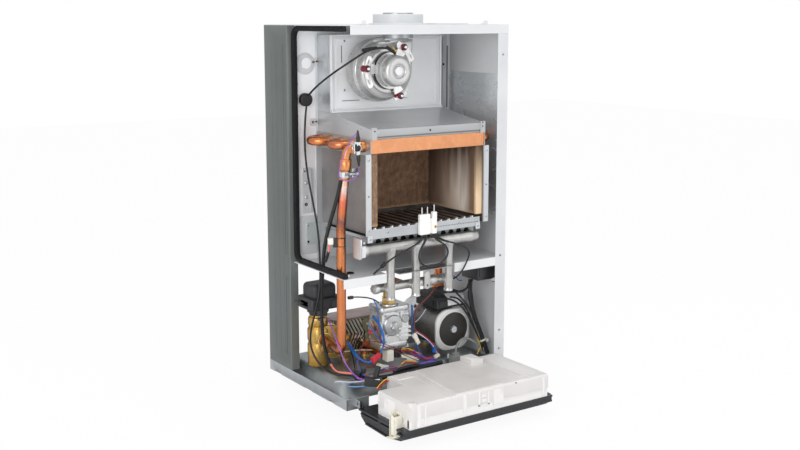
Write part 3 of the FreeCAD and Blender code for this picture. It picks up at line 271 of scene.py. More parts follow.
def flow_copper():
    """The flow pipe: flux-white and red below its socket, then brown with heat."""
    made = Finish("copper_flow", 1.0)
    base = made.ramp(made.noise(30, 6.0, (1, 1, 0.5), warp=0.8),
        [(0.2, "b5683f"), (0.5, "d38658"), (0.8, "eaa67a")])
    height = made.sums("ADD", made.coordinate("Z"), made.sums("MULTIPLY", made.noise(60, 5.0), 0.03))
    zone = made.ramp(made.span(height, 0.108, 0.508), [(0.0, "c4764c"), (0.56, "cf8254"), (0.6, "a8694a"),
        (0.66, "7e5a58"), (0.7, "c4704c"), (0.755, "e0705f"), (0.785, "f0b0a6"), (0.82, "efe9e6"),
        (0.856, "f0c8a6"), (0.88, "e39a62"), (1.0, "e39a62")])
    share = made.span(made.noise(24, 4.0, warp=0.9), 0.25, 0.55, 0.35, 0.95)
    # A painted dark reflection on the sides that turn away from the eye.
    made.colour(made.painted_dark_reflection(made.blend(share, base, zone), "50261a", 0.25, 0.95, 0.75)).rough(0.22, 0.4, 70)
    made.bump(made.noise(260, 4.0), 0.08)
    return made.material


def fibre(name, glow=False):
    """Fibre board browned by the burner: mottled and paler at the rim. With glow set it is streaked upwards
    and carries a painted sheen of pale and white bands, darker towards the back and the top.
    """
    made = Finish(name, 0.0, Specular_IOR_Level=0.15)
    stretch = (1, 3, 0.35) if glow else (1.6, 1, 1)
    cloud = made.ramp(made.noise(75, 8.0, stretch, 0.75), [(0.3, "6c5544"),
        (0.5, "8a6f5a"), (0.72, "b29378")])
    if glow:
        # Painted sheen: near-white bands across the depth of the side, darker towards the back and towards
        # the top.
        along = made.span(made.coordinate("Y"), -0.29, -0.115)
        ends = made.ramp(along, [(0.0, "f2d6b0"), (0.03, "8a6c55"), (0.09, "8a7462"), (0.22, "fff6ea"),
            (0.45, "d9c8b6"), (0.7, "8c7869"), (1.0, "43362d")])
        upper = made.span(made.sums("ADD", made.coordinate("Z"),
            made.sums("MULTIPLY", made.noise(14, 4.0, (1, 4, 0.3)), 0.16)), 0.46, 0.56)
        cloud = made.blend(0.85, cloud, made.blend(upper, ends, "54463c"))
    foot = made.span(made.sums("ADD", made.coordinate("Z"), made.sums("MULTIPLY", made.noise(120, 4.0),
        0.012)), 0.349, 0.358, 1.0, 0.0)
    made.colour(made.blend(made.sums("MULTIPLY", foot, 0.6), cloud, "e0bd94")).rough(0.8, 0.95)
    made.bump(made.noise(900, 5.0, stretch, 0.8), 0.5, 0.0007)
    return made.material


def foam():
    """Black open-celled foam."""
    made = Finish("cellular_foam", 0.0, Specular_IOR_Level=0.25)
    made.toned(made.noise(300, 4.0), [(0.3, "0d0d0e"), (0.7, "242526")]).rough(0.7, 0.9)
    made.bump(made.cells(1500, "Distance"), 0.35, 0.0006).bump(made.noise(60, 3.0), 0.3, 0.0012)
    return made.material


def cast(name, dark, light, metal=0.9, rough=(0.36, 0.5), grain=900.0, bump=0.25, worn="dfe0e0"):
    """A metal casting or a dull pressing with a sandy grain."""
    made = Finish(name, metal)
    made.toned(made.noise(45, 7.0, roughness=0.65), [(0.3, dark), (0.7, light)], worn, (0.525, 0.58))
    made.rough(*rough, scale=180)
    made.bump(made.noise(grain, 3.0), bump, 0.0003).bump(made.noise(70, 3.0), 0.12, 0.0008)
    return made.material


def brass():
    """Cast brass in three tones with bright edges."""
    made = Finish("brass_casting", 0.95)
    stops = [(0.25, "8d6a2c"), (0.5, "b98f45"), (0.75, "d9b368")]
    made.toned(made.noise(30, 7.0, warp=0.4), stops, "ecd08c", (0.525, 0.58)).rough(0.28, 0.45, 120)
    made.bump(made.noise(700, 3.0), 0.2, 0.0003).bump(made.noise(60, 3.0), 0.12, 0.0009)
    return made.material


def shaded_burner_steel():
    """Burner bars: pale steel on top, with painted shade that turns their sides black in the gaps between
    them.
    """
    made = Finish("burner_bar", 0.8)
    tones = made.ramp(made.noise(60, 6.0, (1, 0.3, 1)), [(0.3, "857d76"),
        (0.55, "aaa39c"), (0.8, "cdc7c0")])
    # Painted shade: black below the rounded tops of the bars.
    gap_shade = made.span(made.coordinate("Z"), 0.3365, 0.3405)
    made.colour(made.blend(gap_shade, "14110f", tones)).rough(0.3, 0.5, 200).bump(made.noise(600, 4.0), 0.12)
    return made.material


def cloudy_plastic(name, dark, light, rough=(0.32, 0.48), grain=1300.0, bump=0.1, **constants):
    """Moulded plastic with broad soft patches."""
    return plain(name, dark, light, 0.0, rough, 18.0, grain, bump, **constants)


def sheath(name, colour, darker):
    """The plastic skin of a lead."""
    return plain(name, darker, colour, 0.0, (0.35, 0.5), 160.0, 900.0, 0.05)


PAINT = white_paint()
# The same enamel in much brighter tones for the back wall inside the case: painted light.
LIT_ENAMEL = white_paint("lit_inner_enamel", "f0f1f3", "f9f9fa", "fcfcfc")
COLUMN = pressed_grey()
ZINC = galvanised()
DARK_ZINC = galvanised("tray_sheet", "8b9091", "a0a4a5", (0.32, 0.45), 70.0, share=0.2)
SATIN = galvanised("hood_sheet", "b2b3b4", "c6c7c8", (0.34, 0.44), 120.0, (0.3, 1, 1), 0.72, 0.05)
# The hood's own sheet in darker tones for its front lip and side rims: painted shade.
SHADED_LIP = galvanised("hood_lip_shaded_sheet", "6b6b6a", "7b7a79", (0.3, 0.42), 120.0, (0.3, 1, 1), 0.7, 0.08)
SHIELD = galvanised("rear_shield", "c6c9cc", "dadcdf", (0.3, 0.42), 60.0, (1, 1, 0.5), 0.25, 0.06)
PALE_ZINC = galvanised("fan_plate_sheet", "e8e9eb", "f2f3f4", (0.36, 0.48), 60.0, (1, 1, 1), 0.1, 0.06)
MIRROR = galvanised("reflector_sheet", "eceef0", "f6f7f8", (0.22, 0.3), 60.0, (1, 0.4, 1), 0.5, 0.04)
HEATED = galvanised("chamber_sheet", "86807d", "97918e", (0.32, 0.45), 70.0, share=0.2)
BARE = brushed("bare_plate", "8d8f90", "b9babb", (0.2, 1, 1))
PRESSED = cast("fan_pressing", "b3b3b2", "cbcbca", 0.72, (0.26, 0.38), 500.0, 0.06, "e6e6e4")
CASTING = cast("manifold_casting", "a9a9a6", "c9c8c4", 0.85, (0.3, 0.42), 700.0, 0.12)
VALVE = cast("valve_casting", "9b9d9e", "cbcdce", 0.9, (0.24, 0.38), 800.0, 0.2)
GUNMETAL = cast("pump_can", "6c6b6a", "8b8a88", 0.6, (0.34, 0.46), 1000.0, 0.2, "b0aeac")
PUMP_FACE = cast("pump_face", "d2d0cd", "e6e4e2", 0.25, (0.36, 0.48), 900.0, 0.2)
SCREW = cast("zinc_screw", "9aa0a6", "ccd2d8", 0.95, (0.2, 0.34), 1500.0, 0.05)
COPPER = copper()
BAND = copper("copper_jacket", 0.45, True)
FLOW = flow_copper()
BRASS = brass()
SHADED_BURNER = shaded_burner_steel()
FIBRE = fibre("fibre_back")
PAINTED_SHEEN_FIBRE = fibre("fibre_side", True)
FOAM = foam()
CERAMIC = plain("glazed_ceramic", "e8e7e2", "f6f5f1", 0.0, (0.3, 0.5), 60.0, 500.0, 0.08, worn="fbfaf7")
WHITE = cloudy_plastic("white_cover", "c8c5c2", "d5d2cf", (0.34, 0.46), worn="e8e6e4")
CREAM = cloudy_plastic("cream_arm", "d9d4bf", "ebe7d6", (0.3, 0.42), Subsurface_Weight=0.25,
    Subsurface_Radius=(0.01, 0.008, 0.005), Subsurface_Scale=0.3)
NATURAL = cloudy_plastic("natural_nylon", "dedbcc", "efece0", (0.35, 0.5))
BLACK = cloudy_plastic("black_moulding", "0e0f10", "1c1d1f", (0.3, 0.45), worn="34363a")
COARSE = plain("black_housing", "121314", "202123", 0.0, (0.45, 0.62), 25.0, 1100.0, 0.3, worn="3a3c3f")
RUBBER = plain("black_rubber", "0f1011", "1f2022", 0.0, (0.5, 0.68), 60.0, 500.0, 0.15)
RED_RUBBER = plain("red_rubber", "5c0f1c", "84202e", 0.0, (0.4, 0.55), 90.0, 500.0, 0.12)
DISC = plain("pump_disc", "2a2826", "34322f", 0.1, (0.42, 0.55), 40.0, 900.0, 0.08)
LABEL = plain("bare_label", "e3e4e6", "eeeff0", 0.0, (0.3, 0.42), 30.0, 400.0, 0.04)
RED_PAINT = plain("vessel_paint", "7d1712", "98241c", 0.0, (0.3, 0.45), 14.0, 500.0, 0.15, worn="b4473c")
# Near black: painted shade inside holes, slots, screw recesses and gaps, also given to some small screws,
# pins and caps.
BLACK_AND_SHADE = plain("black_and_painted_shade", "060606", "0d0d0d", 0.0, (0.7, 0.9), 50.0, 500.0, 0.1)
CABLE = sheath("sheath_black", "1c1d1f", "111213")
BLUE = sheath("sheath_blue", "1a6cc0", "1259a6")
RED = sheath("sheath_red", "cc2233", "b01827")
VIOLET = sheath("sheath_violet", "a45fc4", "8e4bb0")
SALMON = sheath("sheath_salmon", "ee8f80", "dd7a6c")
BROWN = sheath("sheath_brown", "7a3d34", "632e27")
YELLOW = sheath("sheath_yellow", "e8bd20", "d3a510")
PALE = sheath("sheath_white", "dfe2ea", "c9ceda")
SKY = sheath("sheath_sky", "7fa9d6", "6b97c7")
GREY = sheath("sheath_grey", "8d908e", "787b79")
RED_HOUSING = cloudy_plastic("red_connector", "c2202f", "d83444")
GREY_HOUSING = cloudy_plastic("grey_block", "7f8280", "929593")


# shapes

def spot(axis, u, v, w):
    """A point from two coordinates across an axis and one along it."""
    return {"x": Vector((w, u, v)), "y": Vector((u, w, v)), "z": Vector((u, v, w))}[axis]


def around(centre, radius, turn):
    """The point at an angle in degrees round a centre, as a pair."""
    angle = math.radians(turn)
    return centre[0] + radius * math.cos(angle), centre[1] + radius * math.sin(angle)


def ring(centre, radius, count=32, start=0.0, sweep=360.0):
    """Points round a centre, as pairs. A full round doesn't repeat its first point."""
    steps = count if abs(sweep) >= 360 else count - 1
    return [around(centre, radius, start + sweep * k / steps) for k in range(count)]


def soft_rectangle(left, low, right, high, radius, steps=5):
    """The outline of a rectangle with round corners."""
    corners = ((right - radius, high - radius, 0), (left + radius, high - radius, 90),
        (left + radius, low + radius, 180), (right - radius, low + radius, 270))
    return [p for x, y, start in corners for p in ring((x, y), radius, steps + 1, start, 90)]


def mirrored(side, near, far):
    """A span to the right of the middle, or its mirror image to the left, from low to high."""
    return (near, far) if side > 0 else (-far, -near)


CORNER_SHARE, STRAIGHT = 0.49, 1e-3


def fillet(points, bend, steps=7):
    """The path with every corner turned into an arc."""
    points = [Vector(p) for p in points]
    path = [points[0]]
    for before, corner, after in zip(points, points[1:], points[2:]):
        back, ahead = before - corner, after - corner
        room = CORNER_SHARE * min(back.length, ahead.length)
        back.normalize()
        ahead.normalize()
        turn = math.pi - back.angle(ahead)
        if turn < STRAIGHT:
            path.append(corner)
            continue
        reach = min(bend * math.tan(turn / 2), room)
        radius = reach / math.tan(turn / 2)
        centre = corner + (back + ahead).normalized() * (radius / math.cos(turn / 2))
        start = corner + back * reach - centre
        axis = start.cross(corner + ahead * reach - centre).normalized()
        for k in range(steps + 1):
            path.append(centre + Matrix.Rotation(turn * k / steps, 3, axis) @ start)
    path.append(points[-1])
    return path


def divided(path, step):
    """The path cut into short, even steps."""
    made = [path[0]]
    for a, b in zip(path, path[1:]):
        count = max(1, round((b - a).length / step))
        made += [a.lerp(b, (k + 1) / count) for k in range(count)]
    return made


class Form:
    """Collects the faces of one piece. Coordinates are millimetres."""

    def __init__(self):
        self.spots, self.faces, self.skins = [], [], []

    def add(self, spots, faces, skin=0):
        first = len(self.spots)
        self.spots += [Vector(p) for p in spots]
        self.faces += [[first + k for k in face] for face in faces]
        self.skins += [skin] * len(faces)
        return self

    def box(self, low, high, skin=0):
        (x, y, z), (a, b, c) = low, high
        spots = [(x, y, z), (a, y, z), (a, b, z), (x, b, z), (x, y, c), (a, y, c), (a, b, c), (x, b, c)]
        return self.add(spots, [(0, 3, 2, 1), (4, 5, 6, 7), (0, 1, 5, 4), (1, 2, 6, 5), (2, 3, 7, 6),
            (3, 0, 4, 7)], skin)

    def boxes(self, *ends, skin=0):
        """Boxes of one skin, each given by its low and its high corner."""
        for low, high in ends:
            self.box(low, high, skin)
        return self

    def loops(self, rows, skin=0, caps=True):
        """Skins a stack of loops that all have the same number of points."""
        count = len(rows[0])
        spots = [p for loop in rows for p in loop]
        faces = []
        for r in range(len(rows) - 1):
            for k in range(count):
                n = (k + 1) % count
                faces.append((r * count + k, r * count + n, (r + 1) * count + n, (r + 1) * count + k))
        if caps:
            faces += [tuple(range(count)), tuple(reversed(range(len(spots) - count, len(spots))))]
        return self.add(spots, faces, skin)

    def lathe(self, centre, axis, profile, skin=0, sides=40, caps=True):
        """Turns a profile of (radius, place along the axis) about an axis through a pair."""
        return self.loops([[spot(axis, u, v, along) for u, v in ring(centre, max(radius, TIP), sides)]
            for radius, along in profile], skin, caps=caps)

    def prism(self, axis, outline, low, high, skin=0):
        return self.loops([[spot(axis, u, v, w) for u, v in outline] for w in (low, high)], skin)

    def pressed(self, axis, outline, levels, skin=0):
        """The outline at several levels of (inset, place), which gives it rolled and pressed edges."""
        count = len(outline)
        area = sum(outline[k][0] * outline[(k + 1) % count][1] - outline[(k + 1) % count][0] * outline[k][1]
            for k in range(count))
        side = 1.0 if area > 0 else -1.0
        normals = []
        for k in range(count):
            before, after = Vector(outline[k - 1]), Vector(outline[(k + 1) % count])
            along = (after - before).normalized()
            normals.append(Vector((-along.y, along.x)) * side)
        rows = [[spot(axis, u + n.x * inset, v + n.y * inset, place) for (u, v), n in zip(outline, normals)]
            for inset, place in levels]
        return self.loops(rows, skin)

    def plate(self, axis, outline, holes, low, high, skin=0):
        """A flat plate with round or odd holes right through it."""
        mesh = bmesh.new()
        for loop in [outline] + list(holes):
            corners = [mesh.verts.new(spot(axis, u, v, low)) for u, v in loop]
            for k, corner in enumerate(corners):
                mesh.edges.new((corner, corners[(k + 1) % len(corners)]))
        bmesh.ops.triangle_fill(mesh, use_beauty=True, use_dissolve=False, edges=mesh.edges[:])
        made = bmesh.ops.extrude_face_region(mesh, geom=mesh.faces[:])
        lift = spot(axis, 0, 0, high - low)
        bmesh.ops.translate(mesh, verts=[g for g in made["geom"]
            if isinstance(g, bmesh.types.BMVert)], vec=lift)
        bmesh.ops.dissolve_limit(mesh, angle_limit=0.01, verts=mesh.verts[:], edges=mesh.edges[:])
        mesh.verts.index_update()
        self.add([v.co.copy() for v in mesh.verts], [[v.index for v in f.verts] for f in mesh.faces], skin)
        mesh.free()
        return self

    def sweep(self, path, section, skin=0, up=None, caps=True):
        """Carries a section, given as pairs or as a function of the step, along a path."""
        count = len(path)
        rows = []
        side = None
        for k, at in enumerate(path):
            along = (path[min(k + 1, count - 1)] - path[max(k - 1, 0)]).normalized()
            if up is not None:
                side = Vector(up).cross(along).normalized()
            elif side is None:
                side = along.orthogonal().normalized()
            else:
                side = (side - along * side.dot(along)).normalized()
            rise = along.cross(side)
            shape = section(k / (count - 1)) if callable(section) else section
            rows.append([at + side * u + rise * v for u, v in shape])
        return self.loops(rows, skin, caps=caps)

    def tube(self, path, radius, skin=0, sides=24, caps=True):
        """A round bar along a path. The radius is a number or a function of the step."""
        if callable(radius):
            return self.sweep(path, lambda t: ring((0, 0), radius(t), sides), skin, caps=caps)
        return self.sweep(path, ring((0, 0), radius, sides), skin, caps=caps)

    def aimed(self, at, way, profile, skin=0, sides=20):
        """A turned shape that points any way: profile is (radius, distance from at)."""
        at, way = Vector(at), Vector(way).normalized()
        side = way.orthogonal().normalized()
        rise = way.cross(side)
        rows = [[at + way * along + (side * u + rise * v)
            for u, v in ring((0, 0), max(radius, TIP), sides)] for radius, along in profile]
        return self.loops(rows, skin)

    def brick(self, at, way, size, skin=0, up=UPWARD):
        """A block round a point: size is its length along the way, its width and its height."""
        at, way = Vector(at), Vector(way).normalized()
        side = Vector(up).cross(way)
        if side.length < 0.01:
            side = Vector((0, 1, 0)).cross(way)
        side.normalize()
        rise = way.cross(side)
        rows = [[at + way * (size[0] / 2 * s) + side * (size[1] / 2 * a) + rise * (size[2] / 2 * b)
            for a, b in ((-1, -1), (1, -1), (1, 1), (-1, 1))] for s in (-1, 1)]
        return self.loops(rows, skin)

    def screw(self, at, way, radius=3.0, skin=0, slot_skin=None, hexagon=False):
        """A pan or hexagon head with a cross or slot in it."""
        height = radius * 0.55
        if hexagon:
            self.aimed(at, way, [(radius * 1.25, 0), (radius * 1.25, height * 0.25)], skin, 20)
            self.aimed(at, way, [(radius, 0), (radius, height * 1.2),
                (radius * 0.86, height * 1.5)], skin, 6)
        else:
            self.aimed(at, way, [(radius, 0), (radius, height * 0.5), (radius * 0.85, height * 0.85),
                (radius * 0.5, height), (0.02, height)], skin, 18)
        if slot_skin is not None:
            way = Vector(way).normalized()
            side = way.orthogonal().normalized()
            turned = way.cross(side)
            top = Vector(at) + way * (height * (1.5 if hexagon else 0.9))
            for a, b in ((side, turned), (turned, side)):
                rows = [[top + a * (s * radius * 0.55) + b * (t * radius * 0.12) + way * (h * radius * 0.08)
                    for s, t in ((-1, -1), (1, -1), (1, 1), (-1, 1))] for h in (-1, 1.4)]
                self.loops(rows, slot_skin)
        return self

    def done(self, name, skins, body="casing", replaces=(), bevel=None, smooth=32, slot=None, segments=2):
        """Makes the piece of the faces, with its finishes, its edges and its body. The slot is not used."""
        data = bpy.data.meshes.new(name)
        data.from_pydata([p * MM for p in self.spots], [], self.faces)
        for skin in skins if isinstance(skins, (list, tuple)) else [skins]:
            data.materials.append(skin)
        data.polygons.foreach_set("material_index", self.skins)
        mesh = bmesh.new()
        mesh.from_mesh(data)
        bmesh.ops.recalc_face_normals(mesh, faces=mesh.faces[:])
        mesh.to_mesh(data)
        mesh.free()
        data.polygons.foreach_set("use_smooth", [True] * len(data.polygons))
        data.set_sharp_from_angle(angle=math.radians(smooth))
        piece = bpy.data.objects.new(name, data)
        bpy.context.scene.collection.objects.link(piece)
        if bevel:
            soften(piece, bevel, segments)
        return settle(piece, body, replaces)


def soften(piece, width, segments=2, limit=38):
    """Rounds the edges that are sharper than a limit in degrees."""
    edge = piece.modifiers.new("edges", "BEVEL")
    edge.width = width * MM
    edge.segments = segments
    edge.limit_method = "ANGLE"
    edge.angle_limit = math.radians(limit)
    edge.harden_normals = True


def settle(piece, body, replaces=()):
    """Puts a piece on its body, in place of the CAD nodes that it shows."""
    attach(piece, body)
    if replaces:
        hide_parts(*([replaces] if isinstance(replaces, str) else replaces))
    return piece


def splines(name, routes, detail, scale=1.0):
    """A curve with a smooth open line through the points of each route."""
    data = bpy.data.curves.new(name, "CURVE")
    data.dimensions = "3D"
    data.resolution_u = detail
    for route in routes:
        line = data.splines.new("NURBS")
        line.points.add(len(route) - 1)
        for point, place in zip(line.points, route):
            point.co = (*(Vector(place) * scale), 1.0)
        line.order_u = min(SPLINE_ORDER, len(route))
        line.use_endpoint_u = True
    return data


def wires(name, routes, radius, skin, body="casing", replaces=()):
    """Round leads along their routes, several to a piece."""
    data = splines(name, routes, 8, MM)
    data.bevel_depth = radius * MM
    data.bevel_resolution = 3
    data.use_fill_caps = True
    data.materials.append(skin)
    piece = bpy.data.objects.new(name, data)
    bpy.context.scene.collection.objects.link(piece)
    return settle(piece, body, replaces)


def spline_path(route):
    """The points of a smooth line through a route, for pieces that are swept along it."""
    data = splines("route", [route], 10)
    holder = bpy.data.objects.new("route", data)
    mesh = bpy.data.meshes.new_from_object(holder)
    path = [v.co.copy() for v in mesh.vertices]
    bpy.data.objects.remove(holder)
    bpy.data.curves.remove(data)
    bpy.data.meshes.remove(mesh)
    return path


def corrugated(form, route, radius, pitch=2.2, groove=0.8):
    """Adds a ribbed conduit along a route: every third ring lies in a groove."""
    path = divided(spline_path(route), pitch / 3)
    last = len(path) - 1
    return form.sweep(path, lambda t: ring((0, 0), radius if round(t * last) % 3 else radius * groove, 14))


# camera, light and floor

PHOTO_WIDTH, FOCAL_PIXELS, SHIFT_PIXELS, SENSOR = 800, 1096.95, -30, 36
CAMERA_PLACE, CAMERA_DIP, CAMERA_TURN = (-1236.37, -2015.27, 736.0), 0.1593, -0.5972


def photo_camera():
    """The photograph's viewpoint, solved from the straight edges of the case."""
    data = bpy.data.cameras.new("photo_camera")
    data.sensor_width = SENSOR
    data.lens = FOCAL_PIXELS / PHOTO_WIDTH * SENSOR
    data.shift_y = SHIFT_PIXELS / PHOTO_WIDTH
    data.clip_start, data.clip_end = 0.05, 50
    camera = bpy.data.objects.new("photo_camera", data)
    camera.location = Vector(CAMERA_PLACE) * MM
    camera.rotation_euler = (math.pi / 2 - CAMERA_DIP, 0, CAMERA_TURN)
    bpy.context.scene.collection.objects.link(camera)
    return camera


bpy.context.scene.camera = photo_camera()
bpy.context.scene.view_settings.view_transform = "Standard"


def lamp(name, place, target, size, power):
    """A soft rectangle of light. Places and sizes are metres, power is watts."""
    data = bpy.data.lights.new(name, "AREA")
    data.shape = "RECTANGLE"
    data.size, data.size_y = size
    data.energy = power
    made = bpy.data.objects.new(name, data)
    made.location = place
    made.rotation_euler = (Vector(target) - Vector(place)).to_track_quat("-Z", "Y").to_euler()
    bpy.context.scene.collection.objects.link(made)


lamp("soft_key", (-2.25, -1.55, 1.05), (0, -0.2, 0.4), (1.5, 1.5), 15)
lamp("soft_fill", (0.9, -2.1, 0.8), (0, -0.2, 0.35), (1.4, 1.4), 5.5)
lamp("soft_side", (-1.5, -1.3, 0.75), (0.2, -0.15, 0.5), (0.9, 0.9), 5)
lamp("soft_top", (0.2, -0.5, 2.4), (0, -0.2, 0.4), (1.6, 1.2), 8.5)

SKY_STOPS = ((0.35, (0.62, 0.62, 0.63, 1)), (0.95, (0.95, 0.95, 0.96, 1)))
SHOWN_WHITE = (1, 1, 1, 1)
FLOOR_REACH, FLOOR_GAP = 6.0, 0.002
FLOOR_COLOUR, FLOOR_GLOW = (0.86, 0.86, 0.87, 1), 0.93


def studio_world():
    """A soft grey sky for light and reflections, shown as white behind the object."""
    world = bpy.data.worlds.new("studio")
    sky = Wiring(world)
    height = sky.node("ShaderNodeSeparateXYZ")
    sky.join(sky.node("ShaderNodeTexCoord").outputs["Generated"], height.inputs[0])
    lifted = sky.node("ShaderNodeMath", operation="MULTIPLY_ADD")
    lifted.inputs[1].default_value, lifted.inputs[2].default_value = 0.5, 0.5
    sky.join(height.outputs["Z"], lifted.inputs[0])
    shades = sky.node("ShaderNodeValToRGB")
    for stop, (place, colour) in zip(shades.color_ramp.elements, SKY_STOPS):
        stop.position, stop.color = place, colour
    sky.join(lifted.outputs[0], shades.inputs["Fac"])
    rays = sky.node("ShaderNodeLightPath")
    seen = sky.node("ShaderNodeMath", operation="MAXIMUM")
    sky.join(rays.outputs["Is Camera Ray"], seen.inputs[0])
    sky.join(rays.outputs["Is Transmission Ray"], seen.inputs[1])
    shown = sky.node("ShaderNodeMix", data_type="RGBA", B=SHOWN_WHITE)
    sky.join(seen.outputs[0], shown.inputs["Factor"])
    sky.join(shades.outputs["Color"], shown.inputs["A"])
    sky.join(shown.outputs["Result"], sky.tree.nodes["Background"].inputs["Color"])
    return world


def pale_floor():
    """A wide floor: nearly white with a faint shadow to the camera, and matt grey to the light."""
    low = SOLID[0][2] - FLOOR_GAP
    mesh = bpy.data.meshes.new("floor")
    corners = [(FLOOR_REACH * x, FLOOR_REACH * y, low) for x, y in ((-1, -1), (1, -1), (1, 1), (-1, 1))]
    mesh.from_pydata(corners, [], [(0, 1, 2, 3)])
    ground = bpy.data.materials.new("pale_floor")
    wiring = Wiring(ground)
    matt = wiring.tree.nodes["Principled BSDF"]
    matt.inputs["Base Color"].default_value = FLOOR_COLOUR
    matt.inputs["Roughness"].default_value = 0.8
    glow = wiring.node("ShaderNodeEmission", Color=SHOWN_WHITE)
    rays = wiring.node("ShaderNodeLightPath")
    part = wiring.node("ShaderNodeMath", operation="MULTIPLY")
    part.inputs[1].default_value = FLOOR_GLOW
    wiring.join(rays.outputs["Is Camera Ray"], part.inputs[0])
    both = wiring.node("ShaderNodeMixShader")
    for source, socket in zip((part, matt, glow), both.inputs):
        wiring.join(source.outputs[0], socket)
    wiring.join(both.outputs[0], wiring.tree.nodes["Material Output"].inputs["Surface"])
    mesh.materials.append(ground)
    made = bpy.data.objects.new("floor", mesh)
    bpy.context.scene.collection.objects.link(made)
    return made


bpy.context.scene.world = studio_world()
floor = pale_floor()


# CAD nodes that keep their shape

WELD_REACH = 1e-5


def dress(node, skin, bevel):
    """Gives a CAD node its finish, welded seams and softened edges."""
    piece = NODES[node]
    piece.data.materials.clear()
    piece.data.materials.append(skin)
    weld = piece.modifiers.new("seams", "WELD")
    weld.merge_threshold = WELD_REACH
    if bevel:
        soften(piece, bevel, limit=32)


for node, skin, bevel in (("rear_column", COLUMN, 0.6), ("top_panel", PAINT, 0.7),
        ("right_side_panel", PAINT, 0.7), ("back_wall", LIT_ENAMEL, 0.4), ("hanging_rail", ZINC, 0.5),
        ("chamber_floor", PAINT, 0.6), ("gas_plate", BARE, 0.4), ("air_inlet_cover", PAINT, 0.5),
        ("cover_hooks", PAINT, 0.8), ("rear_box", ZINC, 0.4), ("fan_plate", PALE_ZINC, 0.4),
        ("hood", SATIN, 0.7), ("hx_jacket", BAND, 0.8), ("hx_core", COPPER, 0.3),
        ("chamber_shell", HEATED, 0.4), ("insulation_left", FIBRE, 0.8), ("insulation_right", PAINTED_SHEEN_FIBRE, 0.8),
        ("insulation_back", FIBRE, 0.8), ("burner_frame", ZINC, 0.4), ("nozzle_plate", DARK_ZINC, 0.3),
        ("fan_impeller", ZINC, 0.0), ("electrodes", SCREW, 0.0), ("gas_inlet_pipe", COPPER, 0.0),
        ("diverter_spindle", BRASS, 0.0), ("pump_housing", VALVE, 1.2), ("pump_rotor", GUNMETAL, 0.0),
        ("vent_screw", SCREW, 0.5), ("knob_heating", WHITE, 0.8), ("knob_hot_water", WHITE, 0.8)):
    dress(node, skin, bevel)


# flue and fan

FLUE = (0, -190)
collar = Form().lathe(FLUE, "z", [(48, 725), (48, 744.4), (48.6, 745), (49.4, 745), (50, 744.4),
    (50, 728.6), (51, 727.4), (57.2, 727), (58, 726.4), (58, 725)], sides=96, caps=False)
collar.done("flue_collar_ring", PAINT, replaces="flue_collar", slot="white_paint")
flue = Form().lathe(FLUE, "z", [(28.9, 698), (28.9, 747.4), (29.4, 748), (29.8, 747.6), (30, 747),
    (30, 698)], sides=72, caps=False)
flue.done("flue_tube", ZINC, replaces="flue_pipe", slot="galvanised")

FAN, MOUNT_REACH = (-40, 636), 55


def fan_scroll(steps=59, sweep=-274, widest=68, drop=6.5, drop_steps=18, closing=1.0):
    """The outline of the volute: its outlet upwards, then a spiral that closes in on the wheel."""
    outline = [(28, 698), (28, 640)]
    for k in range(1, steps + 1):
        reach = widest - drop * min(1, k / drop_steps) - closing * k / steps
        outline.append(around(FAN, reach, sweep * k / steps))
    return outline + [(-28, 698)]


volute = Form().pressed("y", fan_scroll(), [(0, -158), (-0.6, -159.5), (0, -161), (0, -180), (-1.2, -182),
    (-1.6, -184), (-0.8, -185.6), (1.5, -186.4), (3, -188), (3.6, -200), (4.6, -204.5), (6.6, -207.5),
    (9.6, -208.8), (13, -209)])
volute.lathe(FAN, "y", [(53, -207), (53, -210.4), (51.6, -211.6), (46, -212), (44.8, -213), (44, -215.4),
    (42.6, -216), (37, -216), (34, -214.6), (31, -212.5), (20, -212.5)], sides=72)
volute.lathe(FAN, "y", [(35.5, -158), (35.5, -149.8)], 0, 48)
volute.done("fan_volute_pressing", PRESSED, replaces="fan_volute", slot="galvanised", smooth=40)
wheel_gap = Form().lathe(FAN, "y", [(33.4, -212.6), (33.4, -216.2), (32, -216.4), (31, -216.2),
    (31, -212.6)], 0, 48)
wheel_gap.done("fan_eye_shadow", BLACK_AND_SHADE)

motor = Form()
motor.lathe(FAN, "y", [(18, -216.5), (18, -224), (28.4, -224), (29.6, -225), (30, -227), (30, -233),
    (31.4, -233.6), (31.4, -235.4), (30, -236), (30, -247), (29.4, -250.6), (27.6, -253.6), (24.6, -255.4),
    (21, -256), (16, -255.9), (14, -255.2), (12.9, -253.6), (12.4, -252), (9.8, -251.6), (9, -252.6),
    (8.6, -253)], sides=72)
motor.lathe(FAN, "y", [(8.4, -252.4), (8.4, -253.4), (7.8, -253.7), (0.01, -253.7)], 1, 40)
motor.done("fan_motor_can", [PRESSED, LABEL], replaces="fan_motor", slot="bright_steel", smooth=38)


def sector(centre, low, high, start, sweep, round_off=3.0, count=14):
    """An arc-shaped wing with a point at each end."""
    middle = (high + low) / 2
    outer = ring(centre, high, count, start, sweep)
    inner = list(reversed(ring(centre, low, count, start, sweep)))
    tip, heel = (around(centre, middle, turn) for turn in (start + sweep + round_off, start - round_off))
    return outer + [tip] + inner + [heel]


